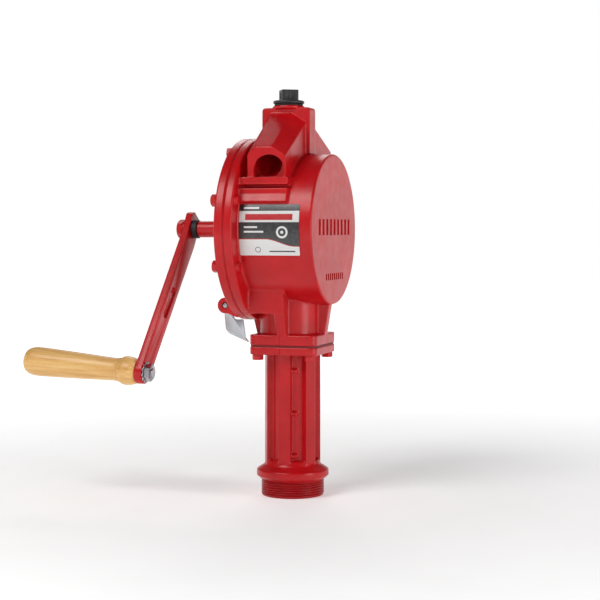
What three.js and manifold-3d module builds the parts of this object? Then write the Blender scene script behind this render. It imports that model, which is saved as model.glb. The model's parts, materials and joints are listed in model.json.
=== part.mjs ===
// Rotary hand transfer pump for a drum: a vane pump on a ribbed inlet column.
// Millimetres, +Z up. The origin is on the column's axis at the bung face, where the thread
// meets the collar. +X runs along the pump shaft towards the closed end of the drum, so the
// crank is on the -X side, and -Y is the front, where the outlet faces.

import * as THREE from 'three';
import { ConvexGeometry } from 'three/addons/geometries/ConvexGeometry.js';
import { mergeVertices } from 'three/addons/utils/BufferGeometryUtils.js';
import Module from 'manifold-3d';

const wasm = await Module();
wasm.setup();

// ---------------------------------------------------------------- driving dimensions

const GAP = 0.3;                 // between neighbouring solids that don't share a flat face
const LARGE = 48;                // sides of the drum and its flange
const ROUND = 32;                // sides of a middling round
const FINE = 16;                 // sides of a small round

const SHAFT_HEIGHT = 239;        // shaft axis above the bung face

// Drum and its flange. X is along the shaft, radii are from the shaft axis.
const DRUM_RADIUS = 71.5;
const DRUM_END_X = 42;
const DRUM_WALL = 6;
const DRUM_END_WALL = 8;
const FLANGE_RADIUS = 87.6;
const FLANGE_BACK_X = -29.7;
const FLANGE_FACE_X = -38.2;
const GASKET_THICKNESS = 0.8;
const COVER_THICKNESS = 8.6;
const COVER_INNER_X = FLANGE_FACE_X - GASKET_THICKNESS;
const COVER_OUTER_X = COVER_INNER_X - COVER_THICKNESS;

const COVER_BOLT_PLACES = 8;
const COVER_BOLT_CIRCLE = 80;
const COVER_BOLT_FIRST_DEG = 19.4;   // above the front, -Y
const COVER_BOLT_LEFT_OUT = 6;       // the place behind the hanger's lug has no bolt
const BOLT_RADIUS = 3;
const BOLT_HEAD_ACROSS = 10;
const COVER_BOLT_HEAD = 5.6;
const BOLT_TIP_X = FLANGE_BACK_X + 2.2;
const BOLT_EAR_RADIUS = 4.2;
const BOLT_EAR_LENGTH = 3.5;

// Pumping parts
const CHAMBER_RADIUS = DRUM_RADIUS - DRUM_WALL;
const CHAMBER_END_X = DRUM_END_X - DRUM_END_WALL;
const LINER_BORE = 54;
const LINER_OFFSET_Y = 7;
const ROTOR_RADIUS = 45.8;
const ROTOR_CLEARANCE = 0.8;
const VANE_COUNT = 4;
const VANE_THICKNESS = 6;
const VANE_INNER = 22;
const SHAFT_RADIUS = 8;
const SHAFT_SQUARE = 10.8;
const SHAFT_SQUARE_X = -96.6;
const SPACER_RADIUS = 9;
const BUSH_RADIUS = 11;
const BUSH_BORE = SHAFT_RADIUS + 0.3;
const SHAFT_HOLE = SHAFT_RADIUS + 0.5;   // in the cover and the packing nut
const LINER_PORT_HALF = 12;

// Shaft boss, packing and packing nut on the cover
const BOSS_RADIUS = 16;
const BOSS_END_X = -66;
const PACKING_NUT_END_X = -76;
const PACKING_NUT_ACROSS = 27;
const PACKING_RADIUS = 11.6;
const PACKING_POCKET = 12;               // radius and depth of the pocket in the boss
const COVER_FIN_REACH = 62;
const COVER_FIN_HALF = 2.5;

// Outlet tower and duct. Heights are above the shaft axis.
const TOWER_X = -4;
const TOWER_HALF_WIDTH = 24.1;
const TOWER_HALF_DEPTH = 9;
const TOWER_TOP = 116.6;
const TOWER_SIDE_BOTTOM = 62;    // where the ducts' sides meet the tower
const MOUTH_Y = -66;
const MOUTH_FLOOR = 48.2;
const BUTTRESS_Y = 62;
// The upper outlines of the two ducts, X and Z from left to right, at the tower and at the end
const DUCT_ROOT = [[-26, 99.4], [-18.7, 111.2], [2.1, 110.8], [15.9, 101.7]];
const DUCT_MOUTH = [[-22.2, 68.8], [-14.4, 76.3], [1.9, 76.3], [15.3, 68]];
const BUTTRESS_ROOT = [[-26, 99.4], [-18.7, 111.2], [2.1, 110.8], [19.3, 97.5]];
const BUTTRESS_END = [[-22, 74], [-14, 80], [2, 80], [19.3, 76.7]];
const BUTTRESS_FLOOR = 42;
const MOUTH_BORE = 14.6;
const MOUTH_BORE_DEPTH = 12;
const MOUTH_CENTRE_X = -0.8;
const MOUTH_CENTRE = 53.7;
const PASSAGE_RADIUS = 12;
const PASSAGE_SLOPE_DEG = 34;
const LEDGE = { fromY: -66.5, bottom: 41.2, endX: 17.5 };
const PAD_END_X = 17.6;
const PAD_OUTLINE = [             // Y, Z
  [-40, 24.4], [-66.9, 24.4], [-70.6, 25.6], [-67.4, 33.2], [-67.4, 37.5], [-66.9, 38], [-40, 38],
];

// Neck under the drum, and the square flange pair
const NECK_RADIUS = 29.5;
const NECK_X = -2;
const INLET_RADIUS = 17;
const SQUARE_HALF = 33.5;
const SQUARE_CORNER = 7.2;
const UPPER_FLANGE_TOP = -100;
const UPPER_FLANGE_BOTTOM = -110;
const FLANGE_GASKET = 1.5;
const LOWER_FLANGE_BOTTOM = -119;
const SQUARE_BOLT_OFFSET = 26.2;
const SQUARE_BOLT_HEAD = 5.2;
const NECK_TOP = -50;            // where the neck's ribs and bore end inside the drum
const WEB_HALF = 5;
const PORT_BLOCK = { fromX: -30.7, toX: 5.2, frontY: -43.5, bottom: -79.2 };
const RIB_FROM_X = -4.7;         // front and back rib, up to the port block's right end

// Inlet column, from the shaft axis down to the thread
const COLUMN_CORE = 20.6;
const COLUMN_RIB_RADIUS = 26.1;
const COLUMN_RIB_WIDTH = 12;
const COLUMN_RIB_COUNT = 6;
const COLLAR_RADIUS = 34.6;
const COLLAR_TOP = -229.5;
const COLLAR_EDGE = -235.5;
const THREAD_RADIUS = 30.15;
const THREAD_LENGTH = 15.5;
const SUCTION_BORE = 16.6;

// Check valve between the square flanges
const SEAT_RADIUS = 22;
const SEAT_HEIGHT = 3.8;
const SEAT_BORE = 13.5;
const POPPET_RADIUS = 15.6;
const POPPET_STEM = 2;

// Vent cap with the vacuum breaker
const VENT_SEAT_TOP = 118.5;
const VENT_SEAT_RADIUS = 15.4;
const VENT_SEAL_TOP = 120.6;
const VENT_FLANGE_TOP = 123.6;
const VENT_HEAD_TOP = 134;
const VENT_FLANGE_RADIUS = 15;
const VENT_HEAD_HALF = 8;
const VENT_HEAD_TURN_DEG = 31.5;
const VENT_PLUG_RADIUS = 7.2;
const VENT_PLUG_BOTTOM = 104;
const VENT_BORE = 5.4;
const VENT_PORT_RADIUS = 7.6;
const VENT_HEAD_BORE = 3;
const BREATHER_RADIUS = 1.4;
const BREAKER_STEM = 1.2;

// Name plate on the front of the drum
const PLATE_FROM_X = -28.1;
const PLATE_TO_X = 30.2;
const PLATE_TOP_DEG = 18.6;
const PLATE_BOTTOM_DEG = -19.8;
const PLATE_THICKNESS = 0.6;

// Crank and grip
const CRANK_SWING_DEG = 34.5;    // arm from straight down towards the front
const ARM_INNER_X = -103;
const ARM_THICKNESS = 6.5;
const ARM_LENGTH = 161;
const ARM_HALF_WIDTH = 11;
const ARM_TOP = 15.6;
const ARM_BEND_Z = -14;
const ARM_LEAN_DEG = 4;
const ARM_SLOT_CENTRE = -85;
const ARM_SLOT_LENGTH = 34;
const ARM_SLOT_WIDTH = 9;
const HANDLE_BOLT_RADIUS = 4;
const GRIP_LENGTH = 118;
const GRIP_POCKET_RADIUS = 7.6;
const GRIP_POCKET_DEPTH = 9;

// Nozzle hanger and its lug on the cover
const HANGER_PIN = [-58.5, -73]; // X, Z
const HANGER_SHEET = 1.5;
const LIP_REACH = 9;
const LIP_DROP = 4.5;
const LUG_FRONT_Y = -30;
const LUG_BACK_Y = -20;
const LUG_NOSE = 7.7;

// Finishes
const RED = { color: 0xb31820, roughness: 0.32, metalness: 0.15 };
const BLACK = { color: 0x2c2c2e, roughness: 0.55, metalness: 0.0 };
const ZINC = { color: 0xb9bcc0, roughness: 0.35, metalness: 0.9 };
const STEEL = { color: 0x8d9094, roughness: 0.4, metalness: 0.9 };
const IRON = { color: 0x5b5d60, roughness: 0.6, metalness: 0.7 };
const BRONZE = { color: 0xa9834a, roughness: 0.4, metalness: 0.9 };
const MAPLE = { color: 0xe3bd7c, roughness: 0.45, metalness: 0.0 };
const RUBBER = { color: 0x161616, roughness: 0.8, metalness: 0.0 };
const FIBRE = { color: 0x6e6558, roughness: 0.9, metalness: 0.0 };
const LABEL = { color: 0xf0f0ee, roughness: 0.4, metalness: 0.0 };

// ---------------------------------------------------------------- solids from geometries

const radians = THREE.MathUtils.degToRad;

function signedVolume(position, triangles) {
  const corner = [new THREE.Vector3(), new THREE.Vector3(), new THREE.Vector3()];
  let volume = 0;
  for (let i = 0; i < triangles.length; i += 3) {
    corner.forEach((point, k) => point.fromBufferAttribute(position, triangles[i + k]));
    volume += corner[0].dot(corner[1].clone().cross(corner[2])) / 6;
  }
  return volume;
}

function solid(geometry) {
  const bare = geometry.clone();
  bare.deleteAttribute('normal');
  bare.deleteAttribute('uv');
  const merged = mergeVertices(bare, 1e-4);
  const triangles = [];
  for (let i = 0; i < merged.index.count; i += 3) {
    const [a, b, c] = [0, 1, 2].map((k) => merged.index.getX(i + k));
    if (a !== b && b !== c && c !== a) {
      triangles.push(a, b, c);
    }
  }
  const position = merged.attributes.position;
  if (signedVolume(position, triangles) < 0) {
    triangles.reverse();
  }
  return new wasm.Manifold(new wasm.Mesh({
    numProp: 3,
    vertProperties: new Float32Array(position.array),
    triVerts: new Uint32Array(triangles),
  }));
}

function geometryOf(manifold) {
  const mesh = manifold.getMesh();
  const geometry = new THREE.BufferGeometry();
  geometry.setAttribute('position', new THREE.BufferAttribute(mesh.vertProperties, mesh.numProp));
  geometry.setIndex(new THREE.BufferAttribute(mesh.triVerts, 1));
  geometry.computeVertexNormals();
  return geometry;
}

function join(...pieces) {
  return pieces.reduce((whole, piece) => whole.add(piece));
}

function cut(piece, ...tools) {
  return tools.reduce((left, tool) => left.subtract(tool), piece);
}

// Shapes are drawn as (u, v) with w along the axis: u, v are Y, Z on the x axis,
// X, Z on the y axis and X, Y on the z axis.
const AXIS_FRAME = {
  x: new THREE.Matrix4().set(0, 0, 1, 0, 1, 0, 0, 0, 0, 1, 0, 0, 0, 0, 0, 1),
  y: new THREE.Matrix4().set(1, 0, 0, 0, 0, 0, 1, 0, 0, 1, 0, 0, 0, 0, 0, 1),
  z: new THREE.Matrix4(),
};

function cone(axis, radiusFrom, radiusTo, from, to, centre = [0, 0], sides = ROUND) {
  const geometry = new THREE.CylinderGeometry(radiusTo, radiusFrom, to - from, sides);
  geometry.rotateX(Math.PI / 2);
  geometry.translate(centre[0], centre[1], (from + to) / 2);
  return solid(geometry.applyMatrix4(AXIS_FRAME[axis]));
}

function rod(axis, radius, from, to, centre, sides) {
  return cone(axis, radius, radius, from, to, centre, sides);
}

function tube(axis, outer, inner, from, to, centre, sides) {
  return cut(
    rod(axis, outer, from, to, centre, sides),
    rod(axis, inner, from - 1, to + 1, centre, sides),
  );
}

function hexBar(axis, across, from, to, centre) {
  return rod(axis, across / Math.sqrt(3), from, to, centre, 6);
}

function block(x, y, z) {
  const geometry = new THREE.BoxGeometry(x[1] - x[0], y[1] - y[0], z[1] - z[0]);
  geometry.translate((x[0] + x[1]) / 2, (y[0] + y[1]) / 2, (z[0] + z[1]) / 2);
  return solid(geometry);
}

function turned(axis, profile, sides = ROUND) {
  const points = profile.map(([radius, height]) => new THREE.Vector2(radius, height));
  const geometry = new THREE.LatheGeometry(points, sides);
  geometry.rotateX(Math.PI / 2);
  return solid(geometry.applyMatrix4(AXIS_FRAME[axis]));
}

function plate(axis, outline, from, to) {
  const shape = outline instanceof THREE.Shape
    ? outline
    : new THREE.Shape(outline.map(([u, v]) => new THREE.Vector2(u, v)));
  const geometry = new THREE.ExtrudeGeometry(shape, {
    depth: to - from,
    bevelEnabled: false,
    curveSegments: 8,
  });
  geometry.translate(0, 0, from);
  return solid(geometry.applyMatrix4(AXIS_FRAME[axis]));
}

function hull(points) {
  return solid(new ConvexGeometry(points.map((point) => new THREE.Vector3(...point))));
}

// Corners in three straight steps
function roundedSquare(half, corner) {
  const inner = half - corner;
  return [45, 135, 225, 315].flatMap((middle) => {
    const [x, y] = [Math.cos(radians(middle)), Math.sin(radians(middle))].map(Math.sign);
    return [-45, -15, 15, 45].map((turn) => {
      const angle = radians(middle + turn);
      return [x * inner + corner * Math.cos(angle), y * inner + corner * Math.sin(angle)];
    });
  });
}

function chamferedSquare(half, chamfer) {
  const inner = half - chamfer;
  return [
    [-inner, -half], [inner, -half], [half, -inner], [half, inner],
    [inner, half], [-inner, half], [-half, inner], [-half, -inner],
  ];
}

// A hexagon-headed bolt along an axis: the head stands on `seat` and the shank runs to `tip`.
function bolt(axis, seat, head, tip, centre, across = BOLT_HEAD_ACROSS, radius = BOLT_RADIUS) {
  const outward = Math.sign(seat - tip);
  const headEnd = seat + outward * head;
  const shankStart = seat + outward;
  return join(
    hexBar(axis, across, Math.min(seat, headEnd), Math.max(seat, headEnd), centre),
    rod(axis, radius, Math.min(tip, shankStart), Math.max(tip, shankStart), centre, FINE),
  );
}

// A coil of round wire standing on the z axis
class Coil extends THREE.Curve {
  constructor(radius, bottom, top, turns) {
    super();
    Object.assign(this, { radius, bottom, top, turns });
  }

  getPoint(t, target = new THREE.Vector3()) {
    const angle = t * this.turns * Math.PI * 2;
    return target.set(
      this.radius * Math.cos(angle),
      this.radius * Math.sin(angle),
      this.bottom + (this.top - this.bottom) * t,
    );
  }
}

function spring(radius, wire, bottom, top, turns) {
  const stepsPerTurn = 12;
  const section = new THREE.Shape();
  section.absarc(0, 0, wire / 2, 0, Math.PI * 2);
  const path = new Coil(radius, bottom + wire / 2, top - wire / 2, turns);
  return solid(new THREE.ExtrudeGeometry(section, {
    steps: turns * stepsPerTurn,
    extrudePath: path,
    curveSegments: 3,
  }));
}

// ---------------------------------------------------------------- casing

function coverBoltCentres() {
  const places = Array.from({ length: COVER_BOLT_PLACES }, (_, i) => {
    const angle = radians(COVER_BOLT_FIRST_DEG + (i * 360) / COVER_BOLT_PLACES);
    return [-COVER_BOLT_CIRCLE * Math.cos(angle), COVER_BOLT_CIRCLE * Math.sin(angle)];
  });
  return places.filter((_, i) => i !== COVER_BOLT_LEFT_OUT);
}

function squareBoltCentres() {
  const a = SQUARE_BOLT_OFFSET;
  return [[-a, -a], [a, -a], [a, a], [-a, a]];
}

function drumShell() {
  const bead = 1.2;
  const fillet = 1.5;
  return turned('x', [
    [0, DRUM_END_X],
    [DRUM_RADIUS - bead, DRUM_END_X],
    [DRUM_RADIUS - bead * 0.3, DRUM_END_X - bead * 0.3],
    [DRUM_RADIUS, DRUM_END_X - bead],
    [DRUM_RADIUS, FLANGE_BACK_X + fillet],
    [DRUM_RADIUS + fillet, FLANGE_BACK_X],
    [FLANGE_RADIUS - 1, FLANGE_BACK_X],
    [FLANGE_RADIUS, FLANGE_BACK_X - 1],
    [FLANGE_RADIUS, FLANGE_FACE_X],
    [0, FLANGE_FACE_X],
  ], LARGE);
}

function towerPlate() {
  const left = TOWER_X - TOWER_HALF_WIDTH;
  const right = TOWER_X + TOWER_HALF_WIDTH;
  const corner = 3;
  const outline = new THREE.Shape();
  outline.moveTo(left, 55);
  outline.lineTo(right, 55);
  outline.lineTo(right, TOWER_TOP - corner);
  outline.absarc(right - corner, TOWER_TOP - corner, corner, 0, Math.PI / 2);
  outline.lineTo(left + corner, TOWER_TOP);
  outline.absarc(left + corner, TOWER_TOP - corner, corner, Math.PI / 2, Math.PI);
  return plate('y', outline, -TOWER_HALF_DEPTH, TOWER_HALF_DEPTH);
}

// Half of the A-shaped duct. side is -1 towards the front, where it ends in the mouth,
// and +1 towards the back, where it ends blind on the drum.
function duct(side, root, end, endY, floor) {
  const across = (outline, y, z) => [outline[0], outline.at(-1)].map(([x]) => [x, y, z]);
  const rootY = side * TOWER_HALF_DEPTH;
  return hull([
    ...root.map(([x, z]) => [x, rootY, z]),
    ...across(root, rootY, TOWER_SIDE_BOTTOM),
    ...end.map(([x, z]) => [x, side * endY, z]),
    ...across(end, side * endY, floor),
    ...across(end, side * (endY - 22), floor - 6),
  ]);
}

// The step under the mouth
function mouthLedge() {
  return block([FLANGE_BACK_X - 1, LEDGE.endX], [LEDGE.fromY, -40], [LEDGE.bottom, MOUTH_FLOOR]);
}

function squareFlange(bottom, top) {
  return plate('z', roundedSquare(SQUARE_HALF, SQUARE_CORNER), bottom, top);
}

function neck() {
  const foot = UPPER_FLANGE_TOP - 1;
  const webTop = NECK_TOP - 5;
  const edge = FLANGE_FACE_X + 0.3;
  const web = plate('y', [
    [edge, webTop], [edge, -88], [-34.7, foot], [SQUARE_HALF, foot], [DRUM_END_X - 1, webTop],
  ], -WEB_HALF, WEB_HALF);
  const tubeWall = rod('z', NECK_RADIUS, foot, NECK_TOP + 10, [NECK_X, 0]);
  const { fromX, toX, frontY, bottom } = PORT_BLOCK;
  const portBlock = block([fromX, toX], [frontY, 0], [bottom, NECK_TOP]);
  const footY = -SQUARE_HALF + 0.2;
  const ribs = [1, -1].map((side) => plate('x', [
    [0, foot], [side * footY, foot], [side * frontY, bottom], [side * frontY, NECK_TOP], [0, NECK_TOP],
  ], RIB_FROM_X, toX));
  const flange = squareFlange(UPPER_FLANGE_BOTTOM, UPPER_FLANGE_TOP);
  return join(web, tubeWall, portBlock, ...ribs, flange);
}

function outletPassages() {
  const at = [TOWER_X, 0];
  const slope = radians(PASSAGE_SLOPE_DEG);
  const middle = 34;             // from the mouth's face to the passage's middle, along Y
  const length = 60 / Math.cos(slope);
  const slanted = new THREE.CylinderGeometry(PASSAGE_RADIUS, PASSAGE_RADIUS, length, FINE);
  slanted.rotateX(slope);
  slanted.translate(TOWER_X, MOUTH_Y + middle, MOUTH_CENTRE + middle * Math.tan(slope));
  const mouthAt = [MOUTH_CENTRE_X, MOUTH_CENTRE];
  const mouthRound = rod('y', MOUTH_BORE, MOUTH_Y - 5, MOUTH_Y + MOUTH_BORE_DEPTH, mouthAt);
  const belowFloor = block([-40, 40], [MOUTH_Y - 20, MOUTH_Y + 40], [0, MOUTH_FLOOR]);
  return join(
    cut(mouthRound, belowFloor),
    cut(solid(slanted), belowFloor),
    rod('z', PASSAGE_RADIUS - 2, 50, VENT_PLUG_BOTTOM - 6, at, FINE),
    rod('z', VENT_PORT_RADIUS, VENT_PLUG_BOTTOM - 8, VENT_SEAT_TOP + 1, at, FINE),
  );
}

// Drum, flange, bolt ears and the raised pad on the front, before any hole is cut
function drumOutside() {
  const boltEars = coverBoltCentres().map((centre) => (
    rod('x', BOLT_EAR_RADIUS, FLANGE_BACK_X - 1, FLANGE_BACK_X + BOLT_EAR_LENGTH, centre, FINE)
  ));
  const pad = plate('x', PAD_OUTLINE, FLANGE_BACK_X - 1, PAD_END_X);
  return join(drumShell(), pad, ...boltEars);
}

function inletBore() {
  return rod('z', INLET_RADIUS, UPPER_FLANGE_BOTTOM - 1, NECK_TOP, [0, 0]);
}

function pumpCasing() {
  const boltHoles = coverBoltCentres().map((centre) => (
    rod('x', BOLT_RADIUS + GAP, FLANGE_FACE_X - 1, BOLT_TIP_X + 0.5, centre, FINE)
  ));
  return cut(
    drumOutside(),
    rod('x', CHAMBER_RADIUS, FLANGE_FACE_X - 1, CHAMBER_END_X, [0, 0], LARGE),
    rod('x', BUSH_RADIUS + GAP, CHAMBER_END_X - 1, DRUM_END_X - 3, [0, 0], FINE),
    inletBore(),
    outletPassages(),
    ...boltHoles,
  );
}

// The tower stands on the drum's outside and is of one piece with it.
function outletTower() {
  const ventRing = rod('z', VENT_SEAT_RADIUS, TOWER_TOP - 1, VENT_SEAT_TOP, [TOWER_X, 0]);
  const outside = join(
    towerPlate(),
    duct(-1, DUCT_ROOT, DUCT_MOUTH, -MOUTH_Y, MOUTH_FLOOR - 4.2),
    duct(1, BUTTRESS_ROOT, BUTTRESS_END, BUTTRESS_Y, BUTTRESS_FLOOR),
    mouthLedge(),
    ventRing,
  );
  return cut(outside, drumOutside(), outletPassages());
}

// The neck hangs under the drum and is of one piece with it.
function inletNeck() {
  const squareHoles = squareBoltCentres().map((centre) => (
    rod('z', BOLT_RADIUS + GAP, UPPER_FLANGE_BOTTOM - 1, UPPER_FLANGE_TOP - 1.5, centre, FINE)
  ));
  return cut(neck(), drumOutside(), inletBore(), ...squareHoles);
}

// ---------------------------------------------------------------- cover and its parts

function hangerLug() {
  const [pinX, pinZ] = HANGER_PIN;
  const outline = new THREE.Shape();
  outline.moveTo(COVER_OUTER_X + 2, -56);
  outline.lineTo(pinX + 3, pinZ + LUG_NOSE - 0.6);
  outline.absarc(pinX, pinZ, LUG_NOSE, radians(67), radians(285));
  outline.lineTo(COVER_OUTER_X + 2, -84.5);
  return cut(
    plate('y', outline, LUG_FRONT_Y, LUG_BACK_Y),
    rod('y', 2.9, LUG_FRONT_Y - 1, LUG_BACK_Y + 1, HANGER_PIN, FINE),
  );
}

function endCover() {
  const disc = turned('x', [
    [0, COVER_INNER_X],
    [FLANGE_RADIUS, COVER_INNER_X],
    [FLANGE_RADIUS, COVER_OUTER_X + 1],
    [FLANGE_RADIUS - 1, COVER_OUTER_X],
    [24, COVER_OUTER_X],
    [BOSS_RADIUS + 1, COVER_OUTER_X - 8],
    [BOSS_RADIUS, BOSS_END_X],
    [0, BOSS_END_X],
  ], LARGE);
  const finOutline = [           // X, Z
    [COVER_OUTER_X + 1, 10], [COVER_OUTER_X + 1, COVER_FIN_REACH],
    [BOSS_END_X + 6, BOSS_RADIUS - 1], [BOSS_END_X + 6, 10],
  ];
  const fins = [45, 135, 225, 315].map((degrees) => (
    plate('y', finOutline, -COVER_FIN_HALF, COVER_FIN_HALF).rotate([degrees, 0, 0])
  ));
  const boltHoles = coverBoltCentres().map((centre) => (
    rod('x', BOLT_RADIUS + GAP, COVER_OUTER_X - 1, COVER_INNER_X + 1, centre, FINE)
  ));
  return cut(
    join(disc, hangerLug(), ...fins),
    rod('x', SHAFT_HOLE, BOSS_END_X - 1, COVER_INNER_X + 1, [0, 0], FINE),
    rod('x', BUSH_RADIUS + GAP, COVER_OUTER_X - 4, COVER_INNER_X + 1, [0, 0], FINE),
    rod('x', PACKING_POCKET, BOSS_END_X - 1, BOSS_END_X + PACKING_POCKET, [0, 0], FINE),
    ...boltHoles,
  );
}

function coverGasket() {
  const holes = coverBoltCentres().map((centre) => (
    rod('x', BOLT_RADIUS + GAP, COVER_INNER_X - 1, FLANGE_FACE_X + 1, centre, FINE)
  ));
  return cut(
    rod('x', FLANGE_RADIUS - 0.8, COVER_INNER_X, FLANGE_FACE_X, [0, 0], LARGE),
    rod('x', CHAMBER_RADIUS + 1, COVER_INNER_X - 1, FLANGE_FACE_X + 1, [0, 0], LARGE),
    ...holes,
  );
}

// Threaded skirt inside the boss, hexagon outside it
function packingNut() {
  return cut(
    join(
      hexBar('x', PACKING_NUT_ACROSS, PACKING_NUT_END_X, BOSS_END_X - GAP, [0, 0]),
      rod('x', PACKING_POCKET - GAP, BOSS_END_X - 1, BOSS_END_X + 5, [0, 0], FINE),
    ),
    rod('x', SHAFT_HOLE, PACKING_NUT_END_X - 1, BOSS_END_X + 6, [0, 0], FINE),
  );
}

function shaftPacking() {
  const from = BOSS_END_X + 5.3;
  const to = BOSS_END_X + PACKING_POCKET - GAP;
  return tube('x', PACKING_RADIUS, BUSH_BORE, from, to, [0, 0], FINE);
}

function bush(from, to) {
  return tube('x', BUSH_RADIUS, BUSH_BORE, from, to, [0, 0], FINE);
}

function cylinderLiner() {
  const half = LINER_PORT_HALF;
  const inlet = block([-half - 2, half + 2], [-half - 1, half + 1], [-70, -30]);
  const outlet = block([TOWER_X - half, TOWER_X + half], [-half, half], [30, 70]);
  return cut(
    rod('x', CHAMBER_RADIUS - GAP, FLANGE_FACE_X + 0.2, CHAMBER_END_X - 0.2, [0, 0], LARGE),
    rod('x', LINER_BORE, FLANGE_FACE_X - 1, CHAMBER_END_X + 1, [LINER_OFFSET_Y, 0], LARGE),
    inlet,
    outlet,
  );
}

function namePlate() {
  const inner = DRUM_RADIUS + GAP;
  const steps = 8;
  const degreesPerStep = (PLATE_TOP_DEG - PLATE_BOTTOM_DEG) / steps;
  const angleAt = (i) => radians(PLATE_BOTTOM_DEG + degreesPerStep * i);
  const arc = (radius) => Array.from({ length: steps + 1 }, (_, i) => (
    [-radius * Math.cos(angleAt(i)), radius * Math.sin(angleAt(i))]
  ));
  const outline = [...arc(inner), ...arc(inner + PLATE_THICKNESS).reverse()];
  return plate('x', outline, PLATE_FROM_X, PLATE_TO_X);
}

function hangerPin() {
  return join(
    rod('y', 2.6, LUG_FRONT_Y + GAP, LUG_BACK_Y + 4, HANGER_PIN, FINE),
    rod('y', 4, LUG_BACK_Y + 2.6, LUG_BACK_Y + 4, HANGER_PIN, FINE),
  );
}

// Bent sheet: a tab on the pin, a plate below the cover and a lip that holds the nozzle
function nozzleHanger() {
  const [pinX, pinZ] = HANGER_PIN;
  const back = LUG_BACK_Y + 0.5;
  const outline = [
    [pinX - 5.4, pinZ + 6], [pinX + 5, pinZ + 6], [pinX + 5, -86], [pinX + 8, -88.6],
    [-41, -88.6], [-41, -105], [pinX - 2.9, -96.6],
  ];
  const lip = hull([[-41, -105], [pinX - 2.9, -96.6]].flatMap(([x, z]) => [
    [x, back + 0.2, z], [x, back + 0.2, z + HANGER_SHEET],
    [x, back + LIP_REACH, z - LIP_DROP], [x, back + LIP_REACH, z - LIP_DROP + HANGER_SHEET],
  ]));
  return cut(
    join(plate('y', outline, back, back + HANGER_SHEET), lip),
    rod('y', 3, back - 1, back + HANGER_SHEET + 1, HANGER_PIN, FINE),
  );
}

// ---------------------------------------------------------------- vent cap and vacuum breaker

function ventCap() {
  const at = [TOWER_X, 0];
  const square = chamferedSquare(VENT_HEAD_HALF, 1);
  const head = plate('z', square, VENT_FLANGE_TOP - 1, VENT_HEAD_TOP);
  const body = join(
    rod('z', VENT_PLUG_RADIUS, VENT_PLUG_BOTTOM, VENT_SEAL_TOP + 1, at, FINE),
    rod('z', VENT_FLANGE_RADIUS, VENT_SEAL_TOP + 0.1, VENT_FLANGE_TOP, at),
    head.rotate([0, 0, VENT_HEAD_TURN_DEG]).translate([TOWER_X, 0, 0]),
  );
  return cut(
    body,
    rod('z', VENT_BORE, VENT_PLUG_BOTTOM - 1, VENT_SEAL_TOP - 1, at, FINE),
    rod('z', VENT_HEAD_BORE, VENT_SEAL_TOP - 2, VENT_HEAD_TOP - 4, at, FINE),
    rod('y', BREATHER_RADIUS, -20, 20, [TOWER_X, VENT_FLANGE_TOP + 3], FINE),
  );
}

function breakerDisc() {
  const seat = VENT_SEAL_TOP - 1;
  const at = [TOWER_X, 0];
  return join(
    rod('z', VENT_BORE - 0.8, seat - 2.1, seat - 0.1, at, FINE),
    rod('z', BREAKER_STEM, seat - 9, seat - 1, at, FINE),
  );
}

const RETAINER_BOTTOM = VENT_PLUG_BOTTOM + 1.2;
const RETAINER_TOP = RETAINER_BOTTOM + 1.7;

function breakerRetainer() {
  const hole = BREAKER_STEM + 0.7;
  return tube('z', VENT_BORE - GAP, hole, RETAINER_BOTTOM, RETAINER_TOP, [TOWER_X, 0], FINE);
}

// ---------------------------------------------------------------- inlet column and check valve

const SEAT_TOP = UPPER_FLANGE_BOTTOM - FLANGE_GASKET - 0.2;

function inletColumn() {
  const flange = squareFlange(LOWER_FLANGE_BOTTOM, UPPER_FLANGE_BOTTOM - FLANGE_GASKET);
  const core = rod('z', COLUMN_CORE, COLLAR_EDGE, LOWER_FLANGE_BOTTOM + 1);
  const half = COLUMN_RIB_WIDTH / 2;
  const ribSpan = [COLLAR_TOP + 1, LOWER_FLANGE_BOTTOM + 1];
  const round = rod('z', COLUMN_RIB_RADIUS, ...ribSpan);
  const ribs = Array.from({ length: COLUMN_RIB_COUNT }, (_, i) => {
    const rib = block([-half, half], [-COLUMN_RIB_RADIUS, 0], ribSpan);
    return rib.rotate([0, 0, (i * 360) / COLUMN_RIB_COUNT]).intersect(round);
  });
  const foot = turned('z', [
    [0, COLLAR_TOP + 9],
    [COLUMN_RIB_RADIUS - 1, COLLAR_TOP + 9],
    [COLUMN_RIB_RADIUS + 1.4, COLLAR_TOP + 4],
    [COLLAR_RADIUS - 0.6, COLLAR_TOP],
    [COLLAR_RADIUS, COLLAR_TOP - 0.8],
    [COLLAR_RADIUS, COLLAR_EDGE],
    [THREAD_RADIUS + 0.5, -SHAFT_HEIGHT],
    [THREAD_RADIUS, -SHAFT_HEIGHT - 1],
    [THREAD_RADIUS, -SHAFT_HEIGHT - THREAD_LENGTH + 1.5],
    [THREAD_RADIUS - 1.2, -SHAFT_HEIGHT - THREAD_LENGTH],
    [0, -SHAFT_HEIGHT - THREAD_LENGTH],
  ]);
  const boltHoles = squareBoltCentres().map((centre) => (
    rod('z', BOLT_RADIUS + GAP, LOWER_FLANGE_BOTTOM - 1, UPPER_FLANGE_BOTTOM, centre, FINE)
  ));
  return cut(
    join(flange, core, foot, ...ribs),
    rod('z', SUCTION_BORE, -SHAFT_HEIGHT - THREAD_LENGTH - 1, UPPER_FLANGE_BOTTOM, [0, 0]),
    rod('z', SEAT_RADIUS + GAP, SEAT_TOP - SEAT_HEIGHT - 0.2, UPPER_FLANGE_BOTTOM, [0, 0]),
    ...boltHoles,
  );
}

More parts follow.
